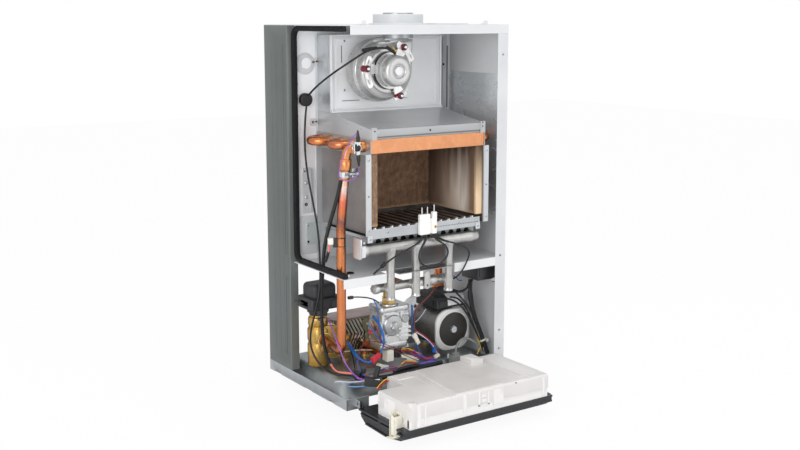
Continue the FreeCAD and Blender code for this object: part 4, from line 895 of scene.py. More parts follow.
# the arms: the angle of each, and how far its wing runs to the left and to the right, in degrees
ARMS = ((55, 16, 34), (175, 38, 24), (295, 30, 14))
bracket = Form()
for turn, left, right in ARMS:
    starts = [turn - right + 5] + ([turn + left - 15] if left > 20 else [])
    holes = [ring(around(FAN, MOUNT_REACH, turn), 5.2, 20)]
    holes += [sector(FAN, 53.4, 55.6, start, 9, 1.0, 6) for start in starts]
    bracket.plate("y", sector(FAN, 47, 60, turn - right, left + right), holes, -223.6, -222)
    bracket.plate("y", sector(FAN, 33, 48, turn - 13, 26, 0.0), [], -223.6, -222)
    for side in (-1, 1):
        x, z = around(FAN, 41, turn + side * 16)
        bracket.screw((x, -223.6, z), FORWARD, 1.4, 0)
bracket.plate("y", ring(FAN, 35.5, 48), [ring(FAN, 18.4, 32)], -223.8, -222)
bracket.done("fan_bracket_arms", PRESSED, replaces="fan_bracket", bevel=0.4, slot="bright_steel")

grommets = Form()
for turn, left, right in ARMS:
    x, z = around(FAN, MOUNT_REACH, turn)
    grommets.lathe((x, z), "y", [(5.4, -209), (6.4, -210), (6.4, -215), (5, -217), (4.4, -219.5), (5, -221),
        (6.6, -222), (6.8, -223.6), (6.8, -226), (6, -227.4), (4.2, -228)], 0, 28)
    grommets.lathe((x, z), "y", [(3.2, -227.5), (3.2, -230.6), (2.4, -231.4), (0.01, -231.4)], 1, 16)
    grommets.lathe((x, z), "y", [(4.6, -227.6), (4.6, -229.6), (3.6, -230)], 2, 6)
grommets.done("fan_rubber_mounts", [RED_RUBBER, SCREW, COARSE], replaces="fan_grommets", slot="red_rubber")

# casing and tray

seal_path = fillet([(-187, -291, 256), (-187, -102.4, 256), (-187, -102.4, 717.5),
    (-187, -291.5, 717.5)], 17, 12)
seal = Form().sweep(divided(seal_path, 6), soft_rectangle(-5, -5, 5, 5, 2.4, 4), up=(1, 0, 0))
seal.done("chamber_foam_seal", FOAM, replaces="chamber_seal", slot="black_foam", smooth=60)

tray = Form()
notches = [(0, 22), (0, 0), (-22, 0), (-24, 3.5), (-48, 3.5), (-50, 0), (-148, 0), (-150, 3.5), (-176, 3.5),
    (-178, 0), (-246, 0), (-248, 4), (-262, 4), (-264, 0), (-312, 0), (-312, 22)]
tray.prism("x", notches, -200, -198.5)
tray.prism("x", notches, 198.5, 200)
tray.boxes(((-200, -1.5, 0), (200, 0, 22)),
    ((-200, -312, 0), (-150, -310.5, 22)),
    ((168, -312, 0), (200, -310.5, 22)),
    ((-198.5, -14, 0), (198.5, -1.5, 1.5)),
    ((-198.5, -266, 0), (-185, -14, 1.5)),
    ((185, -266, 0), (198.5, -14, 1.5)),
    ((-198.5, -310.5, 0), (-150, -262, 1.5)),
    ((168, -310.5, 0), (198.5, -262, 1.5)),
    ((-150, -266, 0), (168, -260, 1.5)))
tray.pressed("z", soft_rectangle(-186, -262, 186, -14, 38, 10),
    [(0, 0.2), (0.4, 1.6), (1.6, 4), (5, 10), (16.5, 28), (19, 31.6), (22, 34.4), (26, 35.8), (31, 36)])
for x in (-179.5, 177.5):
    tray.prism("x", [(-310.5, 5), (-324, 5), (-324, 17), (-321, 19), (-310.5, 19)], x, x + 2)
for x in (-175.3, 175.3):
    tray.lathe((-318, 12), "x", [(2.5, x - 4.2), (2.5, x + 4.2)], 0, 20)
tray.done("tray_pressing", DARK_ZINC, replaces="bottom_tray", bevel=0.4, slot="galvanised", smooth=40)

tails = Form()
for x, radius in ((-150, 13.2), (-92, 10.5), (-42, 10.5), (55, 10.5), (113, 13.2)):
    thread = [(7.5, -22), (7.5, -24)]
    for k in range(10):
        thread += [(radius - 1, -23.6 + 2 * k), (radius, -22.6 + 2 * k)]
    thread += [(radius - 0.8, -3), (radius - 0.8, -1), (radius + 1, -0.4), (radius + 1, 40)]
    tails.lathe((x, -128), "z", thread, sides=36)
tails.done("threaded_tails", BRASS, replaces="pipe_tails", slot="brass")

vessel = Form().pressed("y", soft_rectangle(-145, 285, 145, 685, 62, 12),
    [(26, -95.3), (14, -94.6), (5, -91.5), (1.2, -86), (0, -78), (0, -55), (-2.4, -54), (-2.4, -50),
    (0, -49), (0, -24), (1.2, -17), (5, -11.6), (13, -8.6), (24, -8)])
vessel.lathe((0, 660), "y", [(5, -8), (5, -4.5), (3.6, -3.4), (3.6, -1)], 1, 20)
vessel.done("vessel_shell", [RED_PAINT, BRASS], replaces="expansion_vessel", slot="red_paint", smooth=40)

# hot box details

sheets = Form()
sheets.box((197.9, -289, 331), (198.4, -98, 625), 0)
sheets.box((-136.4, -98.2, 251), (189, -97.2, 700), 1)
sheets.box((-137.6, -98.8, 251), (-136.2, -97.2, 704), 1)
sheets.box((186, -98.8, 300), (188.6, -97.2, 704), 1)
sheets.done("reflector_sheet", [MIRROR, SHIELD])

fittings = Form()
fittings.lathe((-160, 648), "y", [(22, -97), (19.5, -98.4), (16, -99.2), (13.4, -98.6), (10, -98.9),
    (0.01, -99.2)], 0, 48)
fittings.pressed("y", soft_rectangle(-180, 262, -118, 342, 9, 5), [(0, -97), (1.2, -98.4), (2.6, -98.8)], 0)
fittings.pressed("y", soft_rectangle(-170, 347, -151, 440, 1.2, 2), [(0, -97.2), (0, -99), (0.4, -99.3)], 5)
fittings.prism("x", [(-99, 349), (-104.5, 349), (-104.5, 438), (-99, 438)], -151.8, -150.8, 1)
fittings.pressed("y", soft_rectangle(-163, 282, -130, 327, 2, 2),
    [(0, -98.6), (0, -99.9), (0.4, -100.2)], 6)
for z in (409, 380):
    fittings.lathe((-162, z), "y", [(3.6, -99.2), (3.4, -100.4), (2.4, -101.2), (0.01, -101.4)], 2, 20)
fittings.lathe((-165, 433), "y", [(1.8, -99.4), (1.8, -99.6), (0.01, -99.7)], 3, 14)
fittings.screw((-163, -99.3, 365), FORWARD, 3.2, 3, 2)
for x, z in ((-159.5, 321), (-159.5, 288)):
    fittings.screw((x, -100.2, z), FORWARD, 2.4, 2 if z > 300 else 3, 3)
for x, z in ((-141, 651), (-143.5, 531)):
    fittings.pressed("y", soft_rectangle(x - 8, z - 7, x + 8, z + 7, 1.6, 3),
        [(0, -97.4), (0, -99.4), (0.6, -100)], 4)
    fittings.screw((x - 1.5, -100, z), FORWARD, 2.6, 3, 2)
    fittings.aimed((x + 5, -100, z + 1), FORWARD, [(1.5, 0), (1.5, 2.4), (1, 3)], 3, 12)
for x, z in ((-179, 676), (-178, 608), (-180, 560)):
    fittings.lathe((x, z), "y", [(1.6, -97.1), (1.6, -97.3), (0.01, -97.4)], 3, 12)
fittings.lathe((-152, -250), "z", [(7.4, 250.1), (7.4, 251.4), (6, 252.4), (4.4, 252.2), (4, 250.6),
    (0.01, 250.6)], 3, 28)
fittings.done("wall_fittings", [PAINT, DARK_ZINC, SCREW, BLACK_AND_SHADE, WHITE, SHIELD,
    galvanised("wall_plate", "b3bfbd", "c6cfcd", metal=0.3)], bevel=0.2)

marks = Form()
marks.box((-108.4, -151.5, 650), (-107.4, -151.0, 684)).box((-107, -151.5, 574.8), (-67, -151.0, 575.7))
marks.box((34, -151.5, 575), (49, -151.0, 575.7))
for x, z in ((-101.6, 693), (-102.5, 596)):
    marks.screw((x, -151.2, z), FORWARD, 2.6, 1, 0)
for x, z in ((180.3, 639.3), (-104, 690), (-100, 560)):
    marks.lathe((x, z), "y", [(2.4, -98.9), (2.4, -98.3)], 0, 14)
marks.box((189.2, -98.4, 546), (191.6, -97.1, 679))
marks.done("dark_slots", [BLACK_AND_SHADE, SCREW])

rim = Form()
for low, high in (((-133.6, -156, 552.4), (-131, -148.5, 704)),
        ((134.6, -153.4, 552.4), (137.6, -148.5, 702))):
    rim.box(low, high)
rim.prism("x", [(-151.2, 552.4), (-154.6, 552.4), (-154.6, 555.2), (-153, 557.4),
    (-151.2, 558.2)], -133.6, 137.6)
rim.prism("z", [(131, -151.2), (134.4, -153.4), (137.6, -153.4), (137.6, -151.2)], 555, 700)
rim.box((-131, -152.4, 698.6), (136, -151, 701.4))
rim.done("fan_plate_rim", PALE_ZINC, bevel=0.5)

hood_trim = Form()
hood_trim.prism("x", [(-296.2, 512.4), (-297.4, 512.4), (-297.4, 516.6), (-298.2, 517.4), (-298.2, 530.2),
    (-297.2, 531.6), (-293, 532.1), (-293, 531.4), (-296.2, 530.6)], -124, 128, 3)
for left, right in ((-133.4, -121), (125, 137.4)):
    hood_trim.box((left, -299.4, 511.4), (right, -297.4, 534.5), 3)
    hood_trim.box((left + 1.6, -299.9, 511), (left + 4.2, -297.4, 531), 3)
for x, z in ((-126.4, 528), (-119.5, 519.5), (-117.5, 526), (121.6, 519.5), (130.5, 524),
        (130.5, 532), (119.4, 526)):
    hood_trim.screw((x, -299.4 if abs(x) > 124 else -298.2, z), FORWARD, 1.5, 1 if abs(x) < 124 else 2)
hood_trim.screw((2.2, -298.2, 523.5), FORWARD, 1.9, 2)
for x in (-134.4, 137.2):
    hood_trim.box((x, -297.4, 481), (x + 1.2, -97.5, 512.2), 3)
for y, z in ((-168, 544), (-213, 536), (-262, 530)):
    hood_trim.aimed((-133, y, z), (-1, 0, 0), [(1.8, 0), (1.6, 0.7), (0.01, 1)], 1, 12)
hood_trim.done("hood_front_lip", [SATIN, SCREW, BLACK_AND_SHADE, SHADED_LIP], bevel=0.4)

ROW_PITCH, ROW_HEIGHT, BEND_STEPS = 39.5, 498, 22
bends = Form()
for n in range(4):
    near = -114 - ROW_PITCH * n
    far = near - ROW_PITCH
    out, x = (-1, -133) if n % 2 == 0 else (1, 137)
    turns = [math.pi * k / BEND_STEPS for k in range(BEND_STEPS + 1)]
    arc = [Vector((x + out * (14 + ROW_PITCH / 2 * math.sin(turn)),
        near - ROW_PITCH / 2 * (1 - math.cos(turn)), ROW_HEIGHT)) for turn in turns]
    bends.tube([Vector((x, near, ROW_HEIGHT))] + arc + [Vector((x, far, ROW_HEIGHT))], 9, 0, 28)
    for y in (near, far):
        bends.lathe((y, ROW_HEIGHT), "x", [(10.6, x), (10.6, x + out * 5), (9.8, x + out * 6.5),
            (9, x + out * 7)], 0, 28)
bends.done("exchanger_bends", COPPER, replaces="hx_bends", slot="copper", smooth=60)

flow = Form()
route = [(-133, -272, 498), (-172, -272, 498), (-173.5, -252, 342), (-173, -250, 97), (-160, -163.4, 97)]
path = divided(fillet(route, 17, 10), 14)
flow.tube(path, 9, 0, 32)
lean = (Vector(route[2]) - Vector(route[1])).normalized()
top = Vector(route[1]) + lean * 22
flow.aimed(top, lean, [(9, -1), (10.6, 0), (11.4, 1), (11.4, 2.2), (10.9, 2.8), (11.5, 3.6), (11.5, 19),
    (11, 20.6), (9.2, 21.4)], 0, 36)
flow.aimed(Vector(route[0]) - Vector((1, 0, 0)), (-1, 0, 0),
    [(11.4, 0), (11.4, 6), (10, 9), (9, 10)], 0, 32)
lower = (Vector(route[3]) - Vector(route[2])).normalized()
flow.aimed(Vector(route[2]) + lower * 3, lower, [(9, 0), (9.7, 0.8), (9.7, 2.4), (9, 3.4)], 0, 32)
flow.done("flow_tube", FLOW, replaces="flow_pipe", slot="copper", smooth=50)

clamp = Form()
at = top + lean * 22.5
for low, high, radius in ((0, 11.5, 10.7), (0, 1.1, 11.1), (10.4, 11.5, 11.1), (5, 6.4, 11)):
    clamp.aimed(at, lean, [(radius, low), (radius, high)], 0, 40)
# Near-black slots round the band: painted shade in its perforations.
for k in range(14):
    x, y = around((0, 0), 1, 200 + 11 * k)
    clamp.brick(at + lean * 5.7 + Vector((x, y, 0)) * 10.8, UPWARD, (6.4, 0.8, 0.6), 2, (x, y, 0))
clamp.box((at.x - 15, at.y - 15, at.z - 10.5), (at.x - 9, at.y - 5, at.z - 0.5), 0)
clamp.aimed((at.x + 2, at.y - 12.4, at.z - 5.6), (1, -0.1, 0),
    [(3, 0), (3, 14), (4.4, 14.2), (4.4, 18.4), (3.4, 19)], 0, 16)
clamp.box((at.x + 11, at.y - 8, at.z - 13), (at.x + 26, at.y - 6.6, at.z + 4), 0)
clamp.aimed(at + lean * 14.5, lean, [(9.4, 0), (10.2, 0.6), (10.2, 2.6), (9.4, 3.2)], 1, 40)
clamp.done("worm_clamp", [SCREW, BRASS, BLACK_AND_SHADE], bevel=0.3)

safety = Form()
aim = Vector((-0.3, -0.95, 0.08))
seat = Vector((-156, -281, 497))
safety.aimed(seat, aim, [(9.4, 0), (9.4, 1.6), (8.2, 2), (8.2, 4.4), (9.2, 4.6), (9.2, 5.6),
    (7.6, 6.2), (7, 6.2)], 0, 36)
safety.aimed(seat, aim, [(6.6, 5.6), (6.6, 9), (6, 9.8), (4, 10), (3.6, 9.4), (0.01, 9.4)], 1, 32)
safety.box((-165.4, -289, 487), (-163.8, -272, 508), 0).box((-165.4, -289, 506), (-151, -287.4, 509), 0)
for way, start in ((1, 505), (-1, 489)):
    safety.brick((-156.4, -288.6, start + way * 1.5), (0, 0, way), (9, 6.4, 3.4), 2)
    safety.aimed((-156.2, -288.4, start + way * 4), (0.05 * -way, 0, way),
        [(3.3, 0), (3.9, 1), (3.9, 8), (3, 12), (1.7, 21), (1.2, 22)], 1, 20)
safety.done("limit_thermostat", [SCREW, BLACK, WHITE], bevel=0.25)
wires("thermostat_lead", [[(-157.3, -288, 526), (-160, -289, 529), (-178.4, -285, 500.2), (-187, -282, 479),
    (-193, -281, 460), (-195.6, -282, 447.5), (-192, -289, 439), (-179.9, -294, 438), (-166.1, -292, 441),
    (-157.2, -290, 447.7), (-155, -288.4, 456), (-155.2, -288.4, 467)]], 0.85, VIOLET)

probe = Form()
pipe_at = Vector((-173.5, -251.6, 314))
probe.brick(pipe_at + Vector((-10.5, 4, 0)), (-1, 0.4, 0), (8, 11, 17), 0)
probe.brick(pipe_at + Vector((-18.5, 8, 3)), (-1, 0.4, 0), (10, 9, 12), 1)
for z in (306, 322):
    probe.aimed((-173.5, -251.6, z), UPWARD, [(9.3, 0), (9.7, 0.4), (9.7, 1.2), (9.3, 1.6)], 0, 32)
probe.brick(pipe_at + Vector((3, -9.4, 1)), UPWARD, (18, 1, 1), 0)
probe.brick(pipe_at + Vector((-2, -9.4, 10)), (1, 0, 0), (9, 1, 1), 0)
probe.aimed((-195, -240.5, 296), (0.2, 0.75, -0.9), [(2.4, 0), (3, 1), (2.8, 30), (2.4, 31)], 2, 16)
probe.done("flow_probe", [BLACK, NATURAL, RUBBER], bevel=0.5)
wires("probe_lead", [[(-192 + s, -243, 312), (-192.4 + s, -242.6, 306), (-194.6 + s, -241.2, 302),
    (-195 + s / 2, -240.4, 295)] for s in (-1.2, 1.2)], 0.9, SALMON)

back = Form()
back.tube(divided(fillet([(137, -114, 498), (158, -114, 498), (158, -114, 150)], 17, 10), 14), 9, 0, 28)
back.lathe((158, -114), "z", [(9, 176), (12, 174), (12, 160), (13.6, 158), (13.6, 150), (14, 149)], 0, 32)
back.done("return_tube", COPPER, replaces="return_pipe", slot="copper", smooth=50)

# combustion chamber and burner

trims = Form()
for x in (-139, 143):
    trims.box((x - 6, -297.2, 329), (x + 6, -296, 484.4), 0)
    for z in (340, 474):
        trims.screw((x, -297.2, z), FORWARD, 2.6, 1, 2)
    trims.screw((x, -297.2, 405), FORWARD, 1.4, 2)
for x in (-96, 73):
    trims.screw((x, -297.5, 333), FORWARD, 3, 1, 2)
for x in (-138, 121):
    trims.box((x - 5, -299, 316), (x + 6, -297.3, 330), 0)
    trims.screw((x, -299, 323), FORWARD, 2.6, 1, 2)
for k in range(27):
    x = 20 + 3.9 * k
    trims.lathe((x, 331), "y", [(0.9, -297.9), (0.9, -297.3)], 2, 10)
trims.done("chamber_trim", [ZINC, SCREW, BLACK_AND_SHADE], bevel=0.3)

BAR_COUNT, BAR_PITCH = 13, 19.4
bars = Form()
for n in range(BAR_COUNT):
    x = -129 + BAR_PITCH * n
    bars.prism("y", [(x, 322), (x, 336.6), (x + 1.2, 339.4), (x + 3, 340.8), (x + 6, 340.8),
        (x + 7.8, 339.4), (x + 9, 336.6), (x + 9, 322)], -294, -140.5, 0)
    # Near-black slots along each bar's top and a near-black strip between the bars: painted shade.
    bars.box((x + 3.6, -289, 340.4), (x + 5.4, -142, 341), 2)
    for k in range(24):
        y = -288 + 6.2 * k
        bars.box((x + 2.4, y, 340.7), (x + 6.6, y + 1.6, 341), 2)
    bars.box((x + 9.6, -292, 324), (x + 18.8, -142, 326), 2)
    bars.aimed((x + 4.5, -288.5, 339.4), (0, -1, 0.1), [(3.6, 0), (4, 3.4), (3.4, 6.4), (1.8, 7.6)], 1, 16)
    bars.box((x + 2.8, -297.4, 335), (x + 6.2, -293, 344), 1)
bars.done("burner_tubes", [SHADED_BURNER, SCREW, BLACK_AND_SHADE], replaces="burner_bars", slot="burner_steel", smooth=40)

venturis = Form()
for n in range(BAR_COUNT):
    x = -124.5 + BAR_PITCH * n
    venturis.lathe((x, 312), "y", [(6.3, -277.2), (5.6, -275.2), (4.6, -268)], 0, 22)
    # The near-black disc inside each mouth is painted shade.
    venturis.lathe((x, 312), "y", [(4.6, -268), (0.01, -267.8)], 1, 22)
    venturis.aimed((x, -288, 306), (0, 0.85, 0.5), [(2.4, 3), (2.4, 6), (1.4, 7.4)], 2, 12)
venturis.done("burner_inlets", [SHADED_BURNER, BLACK_AND_SHADE, BRASS], smooth=50)

CROSS_RAIL = (-270, 217)
gas = Form()
gas.lathe((-288, 301), "x", [(9, -151), (12.2, -150), (12.2, -141), (10.6, -138), (10.5, -20), (11.2, -16),
    (10.5, -12), (10.5, 100), (11.4, 104), (11.4, 112), (10, 115), (9.6, 124), (8.4, 126)], 0, 40)
for x in (-84, -24, 56):
    gas.lathe((x, -288), "z", [(7.2, 195.4), (8.3, 195), (9.1, 196), (9.1, 199), (8.2, 200), (8.2, 203),
        (8.5, 204), (8, 236), (8.2, 262), (8.9, 284), (11, 293), (12, 300)], 0, 32)
    gas.lathe((x, 217), "y", [(9.6, -290), (10.4, -282), (9.6, -270)], 0, 28)
    gas.lathe((x + 9, -286), "z", [(2.6, 286), (3.2, 290), (3.2, 300)], 0, 14)
gas.lathe(CROSS_RAIL, "x", [(6, -113), (9.4, -112), (10.4, -110), (10.4, -103), (9, -100), (8.6, -70),
    (9, -66), (8.6, -44), (9.2, 18), (10.6, 22), (10.6, 34), (9, 37), (9, 54), (10.2, 58),
    (10.2, 64), (8.6, 66)], 0, 32)
gas.lathe(CROSS_RAIL, "x", [(6.4, -115.4), (6.4, -112)], 1, 6)
gas.pressed("y", soft_rectangle(1, 203, 15, 240, 6.9, 6), [(0, -282.4), (0.3, -283), (0.8, -283.2)], 0)
gas.lathe((8, 211), "y", [(1.9, -283.6), (1.9, -283)], 2, 16)
gas.lathe((-8, 216), "y", [(4.6, -280), (4.6, -283), (3.8, -283.6)], 0, 16)
gas.lathe((-8, 216), "y", [(1.3, -284), (1.3, -283)], 2, 12)
gas.prism("x", soft_rectangle(-301, 286, -275, 326, 5, 4), -160, -157)
gas.box((-158, -301, 290), (-149, -298.6, 312)).box((-158, -278, 290), (-149, -275.6, 312))
gas.screw((-152, -301, 318), FORWARD, 2.6, 1)
gas.done("manifold_casting", [CASTING, SCREW, BLACK_AND_SHADE], replaces="gas_manifold",
    slot="cast_aluminium", smooth=45)

block = Form()
block.pressed("z", soft_rectangle(-26, -306.5, -2, -297.5, 1.4, 3),
    [(0.6, 320), (0, 321), (0, 359), (0.6, 360)])
block.pressed("z", soft_rectangle(4, -306.5, 14, -297.5, 1.4, 3),
    [(0.6, 320), (0, 321), (0, 362), (0.6, 363)])
block.box((-4, -302.4, 321), (6, -297.6, 350))
block.box((-15.5, -307.4, 322), (-13.2, -306, 356)).box((-24, -307.2, 344), (-4, -306.2, 347))
block.screw((9.2, -306.5, 334), FORWARD, 3, 1, 2)
block.done("ignition_ceramic", [CERAMIC, BRASS, BLACK_AND_SHADE], replaces="electrode_block",
    bevel=0.5, slot="ceramic")

SPARKS = [[(-20, -303, 319.2), (-21, -306, 309), (-52, -312, 300), (-88, -312, 288), (-112, -308, 273),
    (-121, -299, 261), (-122, -287, 252.2)],
    [(-10, -303, 319.2), (-12, -307, 308), (-34, -312, 294), (-35, -312, 268), (-14, -312, 256),
    (8, -312, 256), (33, -312, 266), (40, -312, 284), (26, -312, 300), (9, -307, 309), (7, -303, 319.2)],
    [(12, -303, 319.2), (16, -307, 308), (46, -311, 299), (78, -308, 288), (102, -302, 272),
    (96, -297, 252), (82, -298, 230), (72, -286, 214), (67.4, -272, 214)]]
wires("spark_leads", SPARKS, 1.7, CABLE, replaces="electrode_leads")
boots = Form()
for route in SPARKS:
    line = spline_path(route)
    boots.tube(line[:12], lambda t: 3.0 - 1.1 * t, 0, 16)
line = spline_path(SPARKS[1])
boots.tube(line[-12:], lambda t: 1.9 + 1.1 * t, 0, 16)
boots.aimed((-113.5, -306, 271), (-0.45, 0.3, -0.7), [(2.6, -8), (3.8, -7), (3.8, 3), (2.4, 5)], 0, 18)
boots.done("lead_boots", [RUBBER], smooth=60)

# gas valve

RISER = (-42, -218)
valve = Form()
valve.box((-73, -240, 84), (-12, -196, 158))
valve.pressed("z", soft_rectangle(-77, -245, -7, -191, 9, 5), [(1, 156), (0, 157.5), (0, 164.5), (1, 166)])
valve.pressed("z", soft_rectangle(-75, -243, -9, -193, 9, 5), [(1, 78), (0, 80), (0, 90), (1, 92)])
valve.lathe((-218, 122), "x", [(24, -72), (24, -75), (22.6, -77), (12, -77.6), (0.01, -78)], 0, 36)
valve.lathe((-48, 128), "y", [(22, -239), (22, -244), (20.4, -246), (9, -247.6), (8, -249),
    (0.01, -249)], 0, 36)
for z in (100, 109, 118):
    valve.box((-36, -247, z), (-7, -238, z + 3.6))
valve.box((-30, -244, 94), (-12, -238, 150)).box((-11, -238, 98), (-7, -200, 146))
valve.lathe((-20, 139), "y", [(8.6, -243), (8.6, -248), (7.4, -249)], 0, 24)
valve.lathe((-42, -207), "z", [(13, 66), (13, 80)], 0, 30)
valve.lathe(RISER, "z", [(20, 165), (19, 168.5), (16.4, 169)], 0, 36)
for x, y in ((-71, -239), (-13, -239), (-71, -197), (-13, -197)):
    valve.screw((x, y, 166), UPWARD, 3, 1, 2)
for x, z in ((-68, 151), (-68, 98), (-12, 154), (-34, 153), (-62, 110)):
    valve.screw((x, -245.2, z), FORWARD, 2.6, 1, 2)
valve.done("valve_casting", [VALVE, SCREW, BLACK_AND_SHADE], replaces="gas_valve", bevel=1.0, slot="cast_aluminium",
    smooth=40, segments=3)

coils = Form()
coils.box((-62, -243, 54), (-46, -225, 78), 0).box((-61, -244.2, 60), (-47, -242.8, 72), 0)
coils.lathe((-31, -232), "z", [(10.5, 58), (10.5, 60), (8.6, 60.4), (8.6, 75), (10.5, 75.4),
    (10.5, 78)], 1, 30)
coils.box((-42, -243, 60), (-38, -225, 76), 1)
coils.done("valve_coils", [NATURAL, BLACK], replaces="gas_coils", bevel=0.8, slot="coil_plastic")

feed = Form()
feed.lathe(RISER, "z", [(15, 166), (15, 167), (15, 180), (13.5, 182)], 0, 6)
feed.lathe(RISER, "z", [(10.6, 180), (11.4, 184), (11.4, 192), (9.4, 195)], 0, 30)
feed.tube(divided(fillet([(-42, -218, 188), (-42, -218, 217), (-42, -262, 217)], 10, 8), 8), 8.3, 1, 28)
feed.done("gas_feed", [BRASS, COPPER], replaces="gas_pipe", bevel=0.8, slot="brass")

# water side

TOWER, PORT = (-162, -140), (-160, 97)
block = Form()
block.lathe(TOWER, "z", [(19, 40), (21, 41.5), (21, 60), (22, 62), (22, 84), (20.4, 87), (20.4, 92),
    (22, 95), (22, 116), (20, 119), (19, 123), (20.4, 126), (20.4, 138), (19.4, 141),
    (17, 143), (17, 146)], 0, 48)
block.pressed("y", [(-160, 60), (-118, 60), (-116, 66), (-116, 100), (-124, 118), (-138, 124), (-160, 124)],
    [(3, -158), (1, -157), (0, -155), (0, -125), (1, -123), (3, -122)])
block.lathe(PORT, "y", [(16, -141), (16, -156), (14.6, -158), (14.6, -162), (13.4, -163.4),
    (9.6, -163.4)], 0, 36)
block.lathe(PORT, "y", [(17.4, -152), (17.4, -157.5)], 0, 6)
block.lathe((-150, -128), "z", [(15.2, 40), (15.2, 58), (13, 61), (13, 70)], 0, 8)
block.lathe((-92, -128), "z", [(12.2, 40), (12.2, 50)], 0, 6)
block.lathe((-92, -128), "z", [(10.5, 48), (10.5, 60), (9.4, 63), (9.4, 76), (12, 78),
    (12, 86), (9, 90)], 0, 30)
block.box((-131, -140, 46), (-84, -114, 72))
block.lathe((-124, 80), "y", [(9, -156), (9, -161), (7.6, -162)], 0, 8)
block.lathe((-140, 72), "y", [(6, -156), (6, -160.4)], 1, 20)
block.prism("y", soft_rectangle(-152, 56, -128, 66, 3, 3), -161, -158)
block.done("brass_castings", [BRASS, GUNMETAL], replaces="brass_block", bevel=1.2, slot="brass",
    smooth=40, segments=3)

actuator = Form()
actuator.lathe(TOWER, "z", [(18, 146), (18, 151), (22, 152), (22, 163)], 0, 36)
actuator.pressed("z", soft_rectangle(-196, -174, -124, -114, 7, 5),
    [(2, 162), (0, 164), (0, 183), (1.4, 185.4), (4, 186)])
actuator.pressed("z", soft_rectangle(-187, -167, -131, -116, 12, 6),
    [(0, 185), (0, 204), (1.6, 208.6), (5, 211.4), (9, 212)])
actuator.box((-196, -160, 168), (-193, -130, 180)).box((-150, -175.6, 166), (-130, -173.6, 180))
actuator.box((-176, -175.4, 150), (-160, -160, 164))
actuator.done("actuator_housing", [COARSE], replaces="diverter_actuator", bevel=0.8, slot="black_plastic")

stack = Form()
for low, high in ((44, 47), (112, 116)):
    stack.prism("z", soft_rectangle(-106, -112, 44, -50, 8, 5), low, high, 2 if high > 100 else 0)
# A near-black core between the plates: painted shade.
stack.prism("z", soft_rectangle(-103, -108.4, 41, -53, 6, 5), 46, 113, 1)


SLAT_STEP, SLAT_WIDTH, SLAT_LEAN = 8.2, 4.4, 17
SLAT_ROWS = ((48, 79.4, False, 0), (80.2, 111.6, True, 3))


def slats(axis, start, end, flat, thick):
    """Herring-bone slats on one face, cut off at the ends of the face."""
    for k in range(-4, int((end - start) / SLAT_STEP) + 8):
        foot = start + SLAT_STEP * k
        for low, high, turned, skin in SLAT_ROWS:
            shift = (SLAT_LEAN, 0) if turned else (0, SLAT_LEAN)
            corners = ((foot + shift[0], low), (foot + shift[0] + SLAT_WIDTH, low),
                (foot + shift[1] + SLAT_WIDTH, high), (foot + shift[1], high))
            rib = [(max(start, min(end, u)), v) for u, v in corners]
            if rib[1][0] - rib[0][0] > 0.8 and rib[2][0] - rib[3][0] > 0.8:
                stack.prism(axis, rib, flat, flat + thick, skin)


for axis, start, end, flat, thick in (("y", -104, 42, -111.8, 4), ("y", -104, 42, -54, 3.6),
        ("x", -108, -54, -105.8, 4), ("x", -108, -54, 40, 3.8)):
    slats(axis, start, end, flat, thick)
for x, low, high in ((-30, 84, 112), (-24, 52, 82)):
    stack.pressed("y", soft_rectangle(x - 9, low, x + 11, high, 8, 5),
        [(0, -112), (0, -114.6), (0.8, -115.4)], 4)
    stack.screw((x + 2, -115.4, (low + high) / 2), FORWARD, 2.6, 0)
stack.done("exchanger_plates", [brushed("plate_steel", "b8b4ac", "e2dfd8", (1, 1, 1)), BLACK_AND_SHADE,
    plain("plate_top", "8d7b78", "a69591", 0.5, (0.35, 0.5), 20.0),
    plain("plate_slat", "c2bcad", "dad5c8", 0.4, (0.34, 0.46), 60.0),
    plain("yellow_zinc", "7f7a62", "a39d80", 0.85, (0.28, 0.42), 40.0)], replaces="plate_exchanger",
    bevel=0.3, slot="bright_steel")

# pump

PUMP, BOLT_CIRCLE = (113, 91), 50.96
pump = Form()
pump.lathe(PUMP, "y", [(44, -138), (46, -139), (46, -142), (43.4, -143), (43, -146), (42.4, -205),
    (42, -221), (43, -225)], 0, 72)
pump.pressed("y", soft_rectangle(69, 47, 157, 135, 30, 10), [(1.4, -223), (0, -224.6), (0, -228),
    (0.8, -229.4), (2.4, -230)], 1)
pump.lathe(PUMP, "y", [(40, -229.4), (40, -230.8), (38.8, -231), (36.6, -230.6),
    (36.4, -229.6)], 1, 72, caps=False)
pump.lathe(PUMP, "y", [(36.4, -229.4), (36.4, -230.8), (35.6, -231), (8.2, -231), (7.6, -230.4),
    (7.6, -227)], 2, 72, caps=False)
for turn in (45, 135, 225, 315):
    x, z = around(PUMP, BOLT_CIRCLE, turn)
    pump.screw((x, -141, z), FORWARD, 3.4, 3, hexagon=True)
pump.done("pump_shell", [GUNMETAL, PUMP_FACE, DISC, SCREW], replaces="pump_motor", bevel=None,
    slot="motor_grey", smooth=40)

box = Form()
box.prism("x", [(-220, 136), (-218, 156), (-205, 163), (-144, 163), (-142, 160), (-142, 134)], 79, 151)
box.box((76.5, -205, 140), (80, -160, 152)).box((84, -221.4, 137), (100, -219, 152))
box.done("pump_terminal_box", [COARSE], replaces="terminal_box", bevel=2.2,
    slot="black_plastic", segments=3)
tag = Form().prism("x", [(-220.4, 140.5), (-221, 140.5), (-218.9, 157.2), (-206.5, 163.8), (-206, 163.2),
    (-218.3, 156.8)], 106, 149)
tag.done("bare_tag", LABEL)

